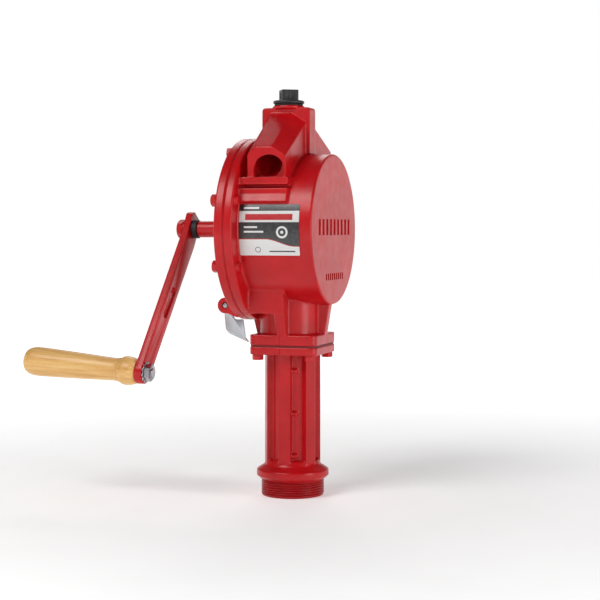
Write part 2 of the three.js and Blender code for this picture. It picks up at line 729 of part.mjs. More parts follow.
function flangeGasket() {
  const bottom = UPPER_FLANGE_BOTTOM - FLANGE_GASKET;
  const holes = squareBoltCentres().map((centre) => (
    rod('z', BOLT_RADIUS + GAP, bottom - 1, UPPER_FLANGE_BOTTOM + 1, centre, FINE)
  ));
  return cut(
    plate('z', roundedSquare(SQUARE_HALF - 0.5, SQUARE_CORNER), bottom, UPPER_FLANGE_BOTTOM),
    rod('z', 18, bottom - 1, UPPER_FLANGE_BOTTOM + 1, [0, 0]),
    ...holes,
  );
}

// Ring with three spokes and a hub that guides the poppet's stem
function valveSeat() {
  const bottom = SEAT_TOP - SEAT_HEIGHT;
  const hubTop = SEAT_TOP - 2;
  const hub = rod('z', 4.5, bottom, hubTop, [0, 0], FINE);
  const spokes = [0, 120, 240].map((degrees) => (
    block([0, SEAT_BORE + 1], [-1.5, 1.5], [bottom, hubTop]).rotate([0, 0, degrees])
  ));
  return cut(
    join(tube('z', SEAT_RADIUS, SEAT_BORE, bottom, SEAT_TOP, [0, 0]), hub, ...spokes),
    rod('z', POPPET_STEM + GAP, bottom - 1, SEAT_TOP + 1, [0, 0], FINE),
  );
}

function checkPoppet() {
  return join(
    rod('z', POPPET_RADIUS, SEAT_TOP + 0.2, SEAT_TOP + 3.2, [0, 0]),
    rod('z', POPPET_STEM, SEAT_TOP - 16, SEAT_TOP + 1, [0, 0], FINE),
  );
}

// ---------------------------------------------------------------- shaft, rotor and crank

function driveShaft() {
  const half = SHAFT_SQUARE / 2;
  return cut(
    join(
      rod('x', SHAFT_RADIUS, SHAFT_SQUARE_X, DRUM_END_X - 3.6, [0, 0], FINE),
      block([ARM_INNER_X - ARM_THICKNESS + 0.6, SHAFT_SQUARE_X + 1], [-half, half], [-half, half]),
    ),
    rod('x', 4.3, ARM_INNER_X - ARM_THICKNESS - 1, SHAFT_SQUARE_X + 10, [0, 0], FINE),
  );
}

function rotor() {
  const from = FLANGE_FACE_X + ROTOR_CLEARANCE;
  const to = CHAMBER_END_X - ROTOR_CLEARANCE;
  const half = VANE_THICKNESS / 2 + GAP;
  const slot = block([from - 1, to + 1], [-half, half], [VANE_INNER - 1, ROTOR_RADIUS + 2]);
  const slots = Array.from({ length: VANE_COUNT }, (_, i) => (
    slot.rotate([(i * 360) / VANE_COUNT, 0, 0])
  ));
  return cut(
    rod('x', ROTOR_RADIUS, from, to, [0, 0], LARGE),
    rod('x', SHAFT_RADIUS + GAP, from - 1, to + 1, [0, 0], FINE),
    ...slots,
  );
}

function vane(index) {
  const half = VANE_THICKNESS / 2;
  const from = FLANGE_FACE_X + ROTOR_CLEARANCE + 0.2;
  const to = CHAMBER_END_X - ROTOR_CLEARANCE - 0.2;
  const bar = block([from, to], [-half, half], [VANE_INNER, ROTOR_RADIUS - 0.5]);
  return bar.rotate([(index * 360) / VANE_COUNT, 0, 0]);
}

function crankSpacer() {
  const hole = SHAFT_SQUARE / 2 + GAP;
  return cut(
    rod('x', SPACER_RADIUS, ARM_INNER_X + GAP, SHAFT_SQUARE_X - GAP, [0, 0], FINE),
    block([ARM_INNER_X - 1, SHAFT_SQUARE_X + 1], [-hole, hole], [-hole, hole]),
  );
}

const LEAN = Math.tan(radians(ARM_LEAN_DEG));
const EYE_OFFSET_X = -(ARM_LENGTH + ARM_BEND_Z) * LEAN;

// The bar's side view, with its lean, cut to its front view: rounded eye, slot and square hole
function crankArm() {
  const outer = ARM_INNER_X - ARM_THICKNESS;
  const bottom = -ARM_LENGTH - 2 * ARM_HALF_WIDTH;
  const lean = (bottom - ARM_BEND_Z) * LEAN;
  const side = plate('y', [
    [ARM_INNER_X, ARM_TOP + 5], [outer, ARM_TOP + 5], [outer, ARM_BEND_Z], [outer + lean, bottom],
    [ARM_INNER_X + lean, bottom], [ARM_INNER_X, ARM_BEND_Z],
  ], -30, 30);

  const half = ARM_HALF_WIDTH;
  const front = new THREE.Shape();
  front.moveTo(-half + 4, ARM_TOP);
  front.lineTo(-half, ARM_TOP - 4);
  front.lineTo(-half, -ARM_LENGTH);
  front.absarc(0, -ARM_LENGTH, half, Math.PI, 2 * Math.PI);
  front.lineTo(half, ARM_TOP - 4);
  front.lineTo(half - 4, ARM_TOP);

  const slotReach = (ARM_SLOT_LENGTH - ARM_SLOT_WIDTH) / 2;
  const slot = new THREE.Shape();
  slot.moveTo(-ARM_SLOT_WIDTH / 2, ARM_SLOT_CENTRE + slotReach);
  slot.lineTo(-ARM_SLOT_WIDTH / 2, ARM_SLOT_CENTRE - slotReach);
  slot.absarc(0, ARM_SLOT_CENTRE - slotReach, ARM_SLOT_WIDTH / 2, Math.PI, 2 * Math.PI);
  slot.lineTo(ARM_SLOT_WIDTH / 2, ARM_SLOT_CENTRE + slotReach);
  slot.absarc(0, ARM_SLOT_CENTRE + slotReach, ARM_SLOT_WIDTH / 2, 0, Math.PI);

  const hole = SHAFT_SQUARE / 2 + GAP;
  const across = [ARM_INNER_X - 30, ARM_INNER_X + 30];
  return cut(
    side.intersect(plate('x', front, ...across)),
    plate('x', slot, ...across),
    block(across, [-hole, hole], [-hole, hole]),
    rod('x', HANDLE_BOLT_RADIUS + 0.8, ...across, [0, -ARM_LENGTH], FINE),
  );
}

function crankScrew() {
  const seat = ARM_INNER_X - ARM_THICKNESS - 2.6;
  return bolt('x', seat, 6, SHAFT_SQUARE_X + 6, [0, 0], 16.5, 3.9);
}

function crankWasher() {
  const face = ARM_INNER_X - ARM_THICKNESS;
  return tube('x', 8.2, 4.4, face - 2.3, face - GAP, [0, 0], FINE);
}

// Grip parts are drawn in the eye's own frame: the arm fills -3.25 to 3.25 in x.
const EYE_HALF = ARM_THICKNESS / 2;
const GRIP_START = -EYE_HALF - 0.8;

function woodenGrip() {
  const end = GRIP_START - GRIP_LENGTH;
  const profile = [              // radius, distance from the arm
    [0, 0], [11, 0], [12.2, 3], [13.4, 8], [13.8, 11], [12.8, 15.5], [11.4, 17.6], [10.9, 19.2],
    [10.7, 22], [11.2, 36], [12.2, 60], [13.2, 85], [13.8, 103], [13.4, 110], [11.8, 115],
    [9, GRIP_LENGTH], [0, GRIP_LENGTH],
  ];
  return cut(
    turned('x', profile.map(([radius, along]) => [radius, GRIP_START - along]), 24),
    rod('x', HANDLE_BOLT_RADIUS + 0.5, end - 1, GRIP_START + 1, [0, 0], FINE),
    rod('x', GRIP_POCKET_RADIUS, end - 1, end + GRIP_POCKET_DEPTH, [0, 0], FINE),
  );
}

function handleBolt() {
  const headSeat = GRIP_START - GRIP_LENGTH + GRIP_POCKET_DEPTH - GAP;
  return join(
    rod('x', HANDLE_BOLT_RADIUS, headSeat - 1, EYE_HALF + 8.2, [0, 0], FINE),
    cone('x', 5.4, 7, headSeat - 4.5, headSeat, [0, 0], FINE),
  );
}

function lockWasher() {
  const teeth = 12;
  const outline = new THREE.Shape();
  for (let i = 0; i < 2 * teeth; i += 1) {
    const radius = i % 2 ? 8.6 : 10;
    const angle = (i * Math.PI) / teeth;
    const method = i ? 'lineTo' : 'moveTo';
    outline[method](radius * Math.cos(angle), radius * Math.sin(angle));
  }
  return cut(
    plate('x', outline, EYE_HALF + GAP, EYE_HALF + 1.5),
    rod('x', HANDLE_BOLT_RADIUS + GAP, 0, EYE_HALF + 3, [0, 0], FINE),
  );
}

function handleNut() {
  return cut(
    hexBar('x', 14.5, EYE_HALF + 1.8, EYE_HALF + 6.8, [0, 0]),
    rod('x', HANDLE_BOLT_RADIUS + GAP, 0, EYE_HALF + 10, [0, 0], FINE),
  );
}

// ---------------------------------------------------------------- assembly

function part(parent, name, manifold, finish) {
  const mesh = new THREE.Mesh(geometryOf(manifold), new THREE.MeshStandardMaterial(finish));
  mesh.name = name;
  parent.add(mesh);
}

const pump = new THREE.Group();

// Everything above the thread is measured from the shaft axis.
const head = new THREE.Group();
head.position.z = SHAFT_HEIGHT;
pump.add(head);

part(head, 'pump_casing', pumpCasing(), RED);
part(head, 'outlet_tower', outletTower(), RED);
part(head, 'inlet_neck', inletNeck(), RED);
part(head, 'end_cover', endCover(), RED);
part(head, 'cover_gasket', coverGasket(), FIBRE);
coverBoltCentres().forEach((centre, i) => {
  const cap = bolt('x', COVER_OUTER_X, COVER_BOLT_HEAD, BOLT_TIP_X, centre);
  part(head, `cover_bolt_${i + 1}`, cap, RED);
});
part(head, 'cylinder_liner', cylinderLiner(), IRON);
part(head, 'front_bush', bush(COVER_OUTER_X - 3.7, COVER_INNER_X), BRONZE);
part(head, 'rear_bush', bush(CHAMBER_END_X + 0.2, DRUM_END_X - 3.3), BRONZE);
part(head, 'shaft_packing', shaftPacking(), FIBRE);
part(head, 'packing_nut', packingNut(), STEEL);
part(head, 'name_plate', namePlate(), LABEL);
part(head, 'hanger_pin', hangerPin(), STEEL);
part(head, 'nozzle_hanger', nozzleHanger(), ZINC);

const seal = tube('z', 14.2, 10.5, VENT_SEAT_TOP, VENT_SEAL_TOP, [TOWER_X, 0]);
part(head, 'vent_seal', seal, RUBBER);
part(head, 'vent_cap', ventCap(), BLACK);
part(head, 'breaker_disc', breakerDisc(), BLACK);
const breakerSpring = new THREE.Group();
breakerSpring.position.x = TOWER_X;
head.add(breakerSpring);
const coil = spring(3.4, 0.8, RETAINER_TOP + GAP, VENT_SEAL_TOP - 3.4, 4);
part(breakerSpring, 'breaker_spring', coil, STEEL);
part(head, 'breaker_retainer', breakerRetainer(), BLACK);

part(head, 'inlet_column', inletColumn(), RED);
part(head, 'flange_gasket', flangeGasket(), RUBBER);
squareBoltCentres().forEach((centre, i) => {
  const screw = bolt('z', LOWER_FLANGE_BOTTOM, SQUARE_BOLT_HEAD, UPPER_FLANGE_TOP - 3, centre);
  part(head, `flange_bolt_${i + 1}`, screw, RED);
});
part(head, 'valve_seat', valveSeat(), BRONZE);
part(head, 'check_poppet', checkPoppet(), BRONZE);

const crank = new THREE.Group();
crank.rotation.x = -radians(CRANK_SWING_DEG);
head.add(crank);

part(crank, 'drive_shaft', driveShaft(), RED);
part(crank, 'rotor', rotor(), IRON);
for (let i = 0; i < VANE_COUNT; i += 1) {
  part(crank, `vane_${i + 1}`, vane(i), BLACK);
}
part(crank, 'crank_spacer', crankSpacer(), BLACK);
part(crank, 'crank_arm', crankArm(), RED);
part(crank, 'crank_washer', crankWasher(), RED);
part(crank, 'crank_screw', crankScrew(), RED);

const eye = new THREE.Group();
eye.position.set(ARM_INNER_X - EYE_HALF + EYE_OFFSET_X, 0, -ARM_LENGTH);
eye.rotation.y = radians(ARM_LEAN_DEG);
crank.add(eye);

part(eye, 'grip', woodenGrip(), MAPLE);
part(eye, 'handle_bolt', handleBolt(), ZINC);
part(eye, 'lock_washer', lockWasher(), ZINC);
part(eye, 'handle_nut', handleNut(), ZINC);

export default pump;
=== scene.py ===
import json
import math

import bmesh
import bpy
import numpy as np
from mathutils import Matrix, Vector


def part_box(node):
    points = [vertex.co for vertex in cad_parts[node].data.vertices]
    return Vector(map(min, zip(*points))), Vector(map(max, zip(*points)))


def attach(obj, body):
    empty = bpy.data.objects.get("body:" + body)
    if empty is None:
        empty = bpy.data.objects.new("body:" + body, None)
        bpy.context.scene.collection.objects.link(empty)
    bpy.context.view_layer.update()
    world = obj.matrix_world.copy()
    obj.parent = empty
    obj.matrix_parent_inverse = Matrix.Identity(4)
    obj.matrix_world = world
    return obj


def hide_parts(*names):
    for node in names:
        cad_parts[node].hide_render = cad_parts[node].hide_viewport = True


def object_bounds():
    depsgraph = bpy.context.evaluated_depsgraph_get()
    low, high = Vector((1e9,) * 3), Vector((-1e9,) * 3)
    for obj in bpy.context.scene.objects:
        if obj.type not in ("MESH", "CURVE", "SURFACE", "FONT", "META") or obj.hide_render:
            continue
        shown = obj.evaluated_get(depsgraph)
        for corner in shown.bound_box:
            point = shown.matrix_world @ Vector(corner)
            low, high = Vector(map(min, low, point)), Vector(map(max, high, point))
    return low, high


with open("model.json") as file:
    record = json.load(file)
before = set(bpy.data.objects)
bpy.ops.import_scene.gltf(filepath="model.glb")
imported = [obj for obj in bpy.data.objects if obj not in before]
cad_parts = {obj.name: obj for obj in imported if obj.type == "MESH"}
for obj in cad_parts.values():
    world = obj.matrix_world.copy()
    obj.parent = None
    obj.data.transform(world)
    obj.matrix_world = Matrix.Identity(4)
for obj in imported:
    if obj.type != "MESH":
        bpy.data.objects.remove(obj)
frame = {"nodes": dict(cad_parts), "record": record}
cad_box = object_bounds()

# Rotary hand transfer pump. Shapes are drawn in millimetres and stored in metres.
# The casing, cover and crank are drawn round the shaft's axis, as in the CAD.

MM = 0.001
JOINTS = {joint["name"]: joint for joint in frame["record"]["behaviour"]["joints"]}


def span(node, axis):
    """Lowest and highest place of a CAD node along an axis, in mm."""
    low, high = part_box(node)
    return low[axis] / MM, high[axis] / MM


# ------------------------------------------------------------ driving dimensions, mm

SHAFT_Z = JOINTS["crank_spin"]["pos_m"][2] / MM
EYE = Vector(JOINTS["grip_spin"]["pos_m"]) / MM
HANGER_PIN = Vector(JOINTS["hanger_swing"]["pos_m"]) / MM

DRUM_END_X = span("pump_casing", 0)[1]
FLANGE_FACE_X = span("pump_casing", 0)[0]
FLANGE_RADIUS = span("pump_casing", 1)[1]
FLANGE_THICKNESS = 8.5
FLANGE_BACK_X = FLANGE_FACE_X + FLANGE_THICKNESS
COVER_INNER_X = span("cover_gasket", 0)[0]
BOLT_SEAT_X = COVER_INNER_X - 8.6
DRUM_RADIUS = 71.5
CHAMBER_RADIUS = span("cylinder_liner", 1)[1] + 0.4
CHAMBER_END_X = span("cylinder_liner", 0)[1] + 0.2
BOLT_CIRCLE = 80.0
BOLT_FIRST_DEG = 19.4
BOLT_PLACES = 8
BOLT_LEFT_OUT = 6
BOLT_RADIUS = 3.0
BOLT_HOLE = BOLT_RADIUS + 0.3
BOLT_ACROSS = 10.0
COVER_BOLT_HEAD = 5.6
EAR_RADIUS = 4.2
EAR_LENGTH = 3.5
SHAFT_RADIUS = 8.0
SHAFT_HOLE = 8.5
BUSH_HOLE = 11.3
ROUND = 220                      # sides of the drum, its flange and its cover

TOWER_X = -4.0
TOWER_TOP = 116.6
TOWER_HALF_WIDTH = 24.1
TOWER_HALF_DEPTH = 9.0
TOWER_FOOT = 55.0
TOWER_CORNER = 3.0
TOWER_SIDE_BOTTOM = 62.0         # where the ducts' sides meet the tower
MOUTH_Y = -66.0
MOUTH_FLOOR = 48.2
MOUTH_CENTRE = (-0.8, 53.7)
MOUTH_BORE = 15.2
DUCT_ROOT = [(-26, 99.4), (-18.7, 111.2), (2.1, 110.8), (15.9, 101.7)]
DUCT_MOUTH = [(-22.2, 68.8), (-14.4, 76.3), (1.9, 76.3), (15.3, 68)]
BUTTRESS_ROOT = [(-26, 99.4), (-18.7, 111.2), (2.1, 110.8), (19.3, 97.5)]
BUTTRESS_END = [(-22, 74), (-14, 80), (2, 80), (19.3, 76.7)]
BUTTRESS_Y = 62
BUTTRESS_FLOOR = 42
LEDGE_X, LEDGE_Y, LEDGE_Z = 17.5, -66.5, 41.2
PAD_X = 17.6
PAD_OUTLINE = [
    (-40, 24.4), (-66.9, 24.4), (-70.6, 25.6), (-67.4, 33.2), (-67.4, 37.5), (-66.9, 38), (-40, 38),
]
PASSAGE_RADIUS = 12.0
PASSAGE_SLOPE_DEG = 34.0
PASSAGE_MIDDLE = 34.0            # from the mouth's face to the passage's middle, along Y
VENT_RING_RADIUS = 15.0
VENT_HOLE = 7.6
CAP_TURN_DEG = 31.5

NECK_TOP = -50.0                 # where the neck's ribs and bore end inside the drum
NECK_RADIUS = 29.5
NECK_X = -2.0
INLET_RADIUS = 17.0
WEB_HALF = 5.0
PORT_BLOCK_X = (-30.7, 5.2)
PORT_BLOCK_Y = -43.5
PORT_BLOCK_Z = -79.2
RIB_X = (-4.7, 5.2)
SQUARE_HALF = 33.5
UPPER_FLANGE = (span("flange_gasket", 2)[1], span("flange_gasket", 2)[1] + 10.0)
LOWER_FLANGE = (span("flange_gasket", 2)[0] - 7.5, span("flange_gasket", 2)[0])
PARTING_X = (-2.3, -1.7)         # the mould's parting line on the square flanges
SQUARE_BOLT_OFFSET = 26.2
SQUARE_CORNER = 7.2

RIB_COUNT = 6
RIB_RADIUS = 26.1
RIB_WIDTH = 12.0
CORE_RADIUS = 20.6
COLLAR_RADIUS = 34.6
COLLAR_TOP = 9.5
COLLAR_EDGE = 3.5
THREAD_RADIUS = 30.15
THREAD_PITCH = 2.2
THREAD_DEPTH = 1.1
SUCTION_BORE = 16.6

ARM_SWING = math.acos((SHAFT_Z - EYE.z) / math.hypot(EYE.y, SHAFT_Z - EYE.z))
ARM_LENGTH = math.hypot(EYE.y, SHAFT_Z - EYE.z)
ARM_INNER_X = span("crank_arm", 0)[1]
ARM_THICKNESS = 6.5
ARM_HALF_WIDTH = 11.0
ARM_LEAN_ANGLE = math.radians(4.0)
ARM_LEAN = math.tan(ARM_LEAN_ANGLE)
ARM_TOP = 15.6
ARM_BEND = -14.0
GRIP_LENGTH = 118.0
WASHER_TEETH = 12

SHAFT_FRAME = Matrix.Translation((0, 0, SHAFT_Z))
CRANK_FRAME = SHAFT_FRAME @ Matrix.Rotation(-ARM_SWING, 4, "X")
EYE_TURN = CRANK_FRAME.to_3x3().to_4x4() @ Matrix.Rotation(ARM_LEAN_ANGLE, 4, "Y")
EYE_FRAME = Matrix.Translation(EYE) @ EYE_TURN
ORIGIN = Matrix.Identity(4)

# ------------------------------------------------------------ shapes: (points, faces)


def placed(axis, u, v, w):
    """Points with u, v across and w along an axis, in X, Y, Z order."""
    order = {"x": (w, u, v), "y": (u, w, v), "z": (u, v, w)}[axis]
    return np.column_stack([np.broadcast_to(part, np.shape(u)) for part in order])


def revolve(axis, profile, sides=128, centre=(0.0, 0.0)):
    """A profile of (radius, place) turned about an axis. It ends on the axis or closes on itself."""
    turn = np.arange(sides) * 2 * math.pi / sides
    points, rings = [], []
    for radius, place in profile:
        start = sum(len(ring) for ring in points)
        if radius < 1e-6:
            points.append(placed(axis, np.array([centre[0]]), np.array([centre[1]]), place))
            rings.append([start] * sides)
        else:
            u = centre[0] + radius * np.cos(turn)
            v = centre[1] + radius * np.sin(turn)
            points.append(placed(axis, u, v, place))
            rings.append(list(range(start, start + sides)))
    if profile[0][0] > 1e-6:
        rings.append(rings[0])
    faces = []
    for lower, upper in zip(rings, rings[1:]):
        for i in range(sides):
            j = (i + 1) % sides
            corners = [lower[i], lower[j], upper[j], upper[i]]
            face = [c for k, c in enumerate(corners) if c != corners[k - 1]]
            if len(face) > 2:
                faces.append(face)
    return np.vstack(points), faces


def rod(axis, radius, start, end, centre=(0.0, 0.0), sides=64, chamfer=0.0):
    ends = [(0, start), (radius - chamfer, start), (radius, start + chamfer),
            (radius, end - chamfer), (radius - chamfer, end), (0, end)]
    return revolve(axis, [p for i, p in enumerate(ends) if i == 0 or p != ends[i - 1]], sides, centre)


def prism(axis, outline, start, end):
    outline = np.array(outline, dtype=float)
    count = len(outline)
    low = placed(axis, outline[:, 0], outline[:, 1], start)
    high = placed(axis, outline[:, 0], outline[:, 1], end)
    sides = [[i, (i + 1) % count, count + (i + 1) % count, count + i] for i in range(count)]
    return np.vstack([low, high]), sides + [list(range(count))[::-1], list(range(count, 2 * count))]


def box(x, y, z):
    return prism("z", [(x[0], y[0]), (x[1], y[0]), (x[1], y[1]), (x[0], y[1])], *z)


def hull(points):
    net = bmesh.new()
    for point in points:
        net.verts.new(point)
    result = bmesh.ops.convex_hull(net, input=net.verts)
    spare = result["geom_interior"] + result["geom_unused"]
    corners = [item for item in spare if isinstance(item, bmesh.types.BMVert)]
    bmesh.ops.delete(net, geom=corners, context="VERTS")
    net.verts.index_update()
    shape = (np.array([v.co[:] for v in net.verts]), [[v.index for v in f.verts] for f in net.faces])
    net.free()
    return shape


def turned(shape, axis, degrees):
    matrix = np.array(Matrix.Rotation(math.radians(degrees), 3, axis.upper()))
    return shape[0] @ matrix.T, shape[1]


def moved(shape, offset):
    return shape[0] + np.array(offset, dtype=float), shape[1]


def arc(centre, radius, start, end, steps=16):
    """Points on an arc, from one angle to another in degrees."""
    return [(centre[0] + radius * math.cos(math.radians(a)), centre[1] + radius * math.sin(math.radians(a)))
            for a in np.linspace(start, end, steps + 1)]


def rounded_square(half, corner):
    inner = half - corner
    centres = ((inner, inner), (-inner, inner), (-inner, -inner), (inner, -inner))
    return [point for i, centre in enumerate(centres)
            for point in arc(centre, corner, 90 * i, 90 * i + 90, 6)]


def slot_outline(centre, length, width):
    """A slot lying along v, with round ends."""
    reach = (length - width) / 2
    return (arc((centre[0], centre[1] + reach), width / 2, 0, 180)
            + arc((centre[0], centre[1] - reach), width / 2, 180, 360))


def threaded(axis, radius, bore, start, end, pitch, depth, sides):
    """A tube or rod whose outside carries a helical thread that fades out at both ends."""
    turn = np.arange(sides) * 2 * math.pi / sides
    places = np.linspace(start, end, max(3, int(abs(end - start) / pitch * 9)))
    loops = []
    for place in places:
        phase = (place / pitch - turn / (2 * math.pi)) % 1.0
        groove = np.clip(1.6 * np.abs(2 * phase - 1) - 0.3, 0, 1)
        fade = min(1.0, abs(place - start) / (0.6 * pitch), abs(end - place) / (0.6 * pitch))
        edge = 0.9 * depth * (1 - fade)
        around = radius - depth * (1 - groove) * fade - edge
        loops.append(placed(axis, around * np.cos(turn), around * np.sin(turn), place))
    for place in (end, start):
        loops.append(placed(axis, bore * np.cos(turn), bore * np.sin(turn), place))
    count = len(loops)
    faces = [[a * sides + i, a * sides + (i + 1) % sides, b * sides + (i + 1) % sides, b * sides + i]
             for a in range(count) for b in [(a + 1) % count] for i in range(sides)]
    return np.vstack(loops), faces


# ------------------------------------------------------------ objects


def new_object(name, shapes, matrix=ORIGIN):
    """One mesh object from closed shapes in mm. Its "place" says where finish_piece puts it."""
    points, faces, start = [], [], 0
    for shape in shapes:
        points.append(shape[0])
        faces += [[start + i for i in face] for face in shape[1]]
        start += len(shape[0])
    points = np.vstack(points)
    mesh = bpy.data.meshes.new(name)
    mesh.from_pydata((points * MM).tolist(), [], faces)
    net = bmesh.new()
    net.from_mesh(mesh)
    bmesh.ops.recalc_face_normals(net, faces=net.faces)
    net.to_mesh(mesh)
    net.free()
    obj = bpy.data.objects.new(name, mesh)
    bpy.context.scene.collection.objects.link(obj)
    obj["place"] = [value for row in matrix for value in row]
    return obj


def settle(obj):
    """Applies the object's modifiers to its mesh."""
    graph = bpy.context.evaluated_depsgraph_get()
    mesh = bpy.data.meshes.new_from_object(obj.evaluated_get(graph))
    obj.modifiers.clear()
    old, obj.data = obj.data, mesh
    bpy.data.meshes.remove(old)


def combine(obj, tool, operation):
    """Applies one Boolean operation with another object, which is then deleted."""
    modifier = obj.modifiers.new("combine", "BOOLEAN")
    modifier.operation = operation
    modifier.solver = "MANIFOLD"
    modifier.object = tool
    settle(obj)
    bpy.data.objects.remove(tool)


def carve(obj, cutters):
    """Takes closed shapes out of an object, one after another."""
    tools = []
    for i, shape in enumerate(cutters):
        tool = new_object(f"{obj.name}_tool_{i}", [shape])
        modifier = obj.modifiers.new("carve", "BOOLEAN")
        modifier.operation = "DIFFERENCE"
        modifier.solver = "MANIFOLD"
        modifier.object = tool
        tools.append(tool)
    settle(obj)
    for tool in tools:
        bpy.data.objects.remove(tool)


def soften(obj, rounds):
    """Rounds a dense mesh off. Points move towards the middle of their neighbours and partly back."""
    mesh = obj.data
    count = len(mesh.vertices)
    points = np.empty(count * 3)
    mesh.vertices.foreach_get("co", points)
    points = points.reshape(-1, 3)
    edges = np.empty(len(mesh.edges) * 2, dtype=np.int64)
    mesh.edges.foreach_get("vertices", edges)
    ends = np.concatenate([edges.reshape(-1, 2), edges.reshape(-1, 2)[:, ::-1]])
    degree = np.bincount(ends[:, 0], minlength=count)[:, None]
    for weight in [0.55, -0.5] * rounds + [0.4, 0.4]:
        total = np.column_stack([np.bincount(ends[:, 0], points[ends[:, 1], k], count) for k in range(3)])
        points = points + weight * (total / degree - points)
    mesh.vertices.foreach_set("co", points.ravel())
    mesh.update()


def cast(name, shapes, matrix=ORIGIN, voxel=0.8):
    """Joins overlapping shapes into one skin with soft cast corners."""
    obj = new_object(name, shapes, matrix)
    remesh = obj.modifiers.new("skin", "REMESH")
    remesh.mode = "VOXEL"
    remesh.voxel_size = voxel * MM
    settle(obj)
    soften(obj, 5)
    return obj


def bevel(obj, width, segments, angle):
    modifier = obj.modifiers.new("edges", "BEVEL")
    modifier.width = width * MM
    modifier.segments = segments
    modifier.limit_method = "ANGLE"
    modifier.angle_limit = math.radians(angle)
    settle(obj)


def finish_piece(obj, material, body, *nodes, slot="red_paint", sharp=38):
    """Places a piece, smooths its shading, gives it its material and body, and hides the CAD nodes it stands
    in for.

    The attribute "local" keeps each point's place in the piece's own frame, in mm. The slot argument is not
    used.
    """
    mesh = obj.data
    local = np.empty(len(mesh.vertices) * 3)
    mesh.vertices.foreach_get("co", local)
    attribute = mesh.attributes.new("local", "FLOAT_VECTOR", "POINT")
    attribute.data.foreach_set("vector", local / MM)
    matrix = Matrix([obj["place"][i:i + 4] for i in range(0, 16, 4)])
    matrix.translation *= MM
    del obj["place"]
    mesh.transform(matrix)
    mesh.shade_smooth()
    mesh.set_sharp_from_angle(angle=math.radians(sharp))
    mesh.materials.clear()
    mesh.materials.append(material)
    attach(obj, body)
    if nodes:
        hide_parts(*nodes)


# ------------------------------------------------------------ materials


class Nodes:
    """A short way to write a material's node tree."""

    def __init__(self, name):
        self.material = bpy.data.materials.new(name)
        self.material.use_nodes = True
        self.tree = self.material.node_tree
        self.shader = self.tree.nodes["Principled BSDF"]

    def put(self, socket, value):
        if isinstance(value, bpy.types.NodeSocket):
            self.tree.links.new(value, socket)
        else:
            socket.default_value = value

    def math(self, operation, *values):
        node = self.tree.nodes.new("ShaderNodeMath")
        node.operation = operation
        for socket, value in zip(node.inputs, values):
            self.put(socket, value)
        return node.outputs[0]

    def own(self):
        """The surface's own coordinates, in mm."""
        coordinates = self.tree.nodes.new("ShaderNodeTexCoord").outputs["Object"]
        return self.scaled(coordinates, (1 / MM, 1 / MM, 1 / MM))

    def local(self):
        """Each point's place in its piece's own frame, in mm."""
        node = self.tree.nodes.new("ShaderNodeAttribute")
        node.attribute_name = "local"
        return node.outputs["Vector"]

    def scaled(self, vector, scale):
        node = self.tree.nodes.new("ShaderNodeMapping")
        self.put(node.inputs["Vector"], vector)
        node.inputs["Scale"].default_value = scale
        return node.outputs["Vector"]

    def noise(self, vector, scale, detail=3.0, roughness=0.55, distortion=0.0):
        node = self.tree.nodes.new("ShaderNodeTexNoise")
        self.put(node.inputs["Vector"], vector)
        node.inputs["Scale"].default_value = scale
        node.inputs["Detail"].default_value = detail
        node.inputs["Roughness"].default_value = roughness
        node.inputs["Distortion"].default_value = distortion
        return node.outputs["Fac"]

    def ramp(self, value, *stops):
        """Colours along a value; each stop is (place, colour)."""
        node = self.tree.nodes.new("ShaderNodeValToRGB")
        self.put(node.inputs["Fac"], value)
        elements = node.color_ramp.elements
        while len(elements) < len(stops):
            elements.new(0.5)
        for element, (place, colour) in zip(elements, stops):
            element.position = place
            element.color = (*colour, 1.0)
        return node.outputs["Color"]

    def range(self, value, low, high, to_low, to_high, kind="LINEAR"):
        node = self.tree.nodes.new("ShaderNodeMapRange")
        node.interpolation_type = kind
        for socket, number in zip(node.inputs, (value, low, high, to_low, to_high)):
            self.put(socket, number)
        return node.outputs["Result"]

    def mix(self, factor, first, second):
        node = self.tree.nodes.new("ShaderNodeMix")
        node.data_type = "RGBA"
        self.put(node.inputs["Factor"], factor)
        for socket, value in zip((node.inputs[6], node.inputs[7]), (first, second)):
            self.put(socket, value if isinstance(value, bpy.types.NodeSocket) else (*value, 1.0))
        return node.outputs[2]

    def bump(self, height, distance_mm, strength=1.0, before=None):
        node = self.tree.nodes.new("ShaderNodeBump")
        self.put(node.inputs["Height"], height)
        node.inputs["Distance"].default_value = distance_mm * MM
        node.inputs["Strength"].default_value = strength
        if before is not None:
            self.put(node.inputs["Normal"], before)
        return node.outputs["Normal"]

    def edges(self, low, high):
        """0 on flat stretches and in corners, 1 on outer edges."""
        pointiness = self.tree.nodes.new("ShaderNodeNewGeometry").outputs["Pointiness"]
        return self.range(pointiness, low, high, 0.0, 1.0)

    def set(self, **values):
        """Sets the shader's sockets, which are named with _ for each space."""
        for key, value in values.items():
            colour = isinstance(value, tuple) and len(value) == 3
            self.put(self.shader.inputs[key.replace("_", " ")], (*value, 1.0) if colour else value)
        return self.material


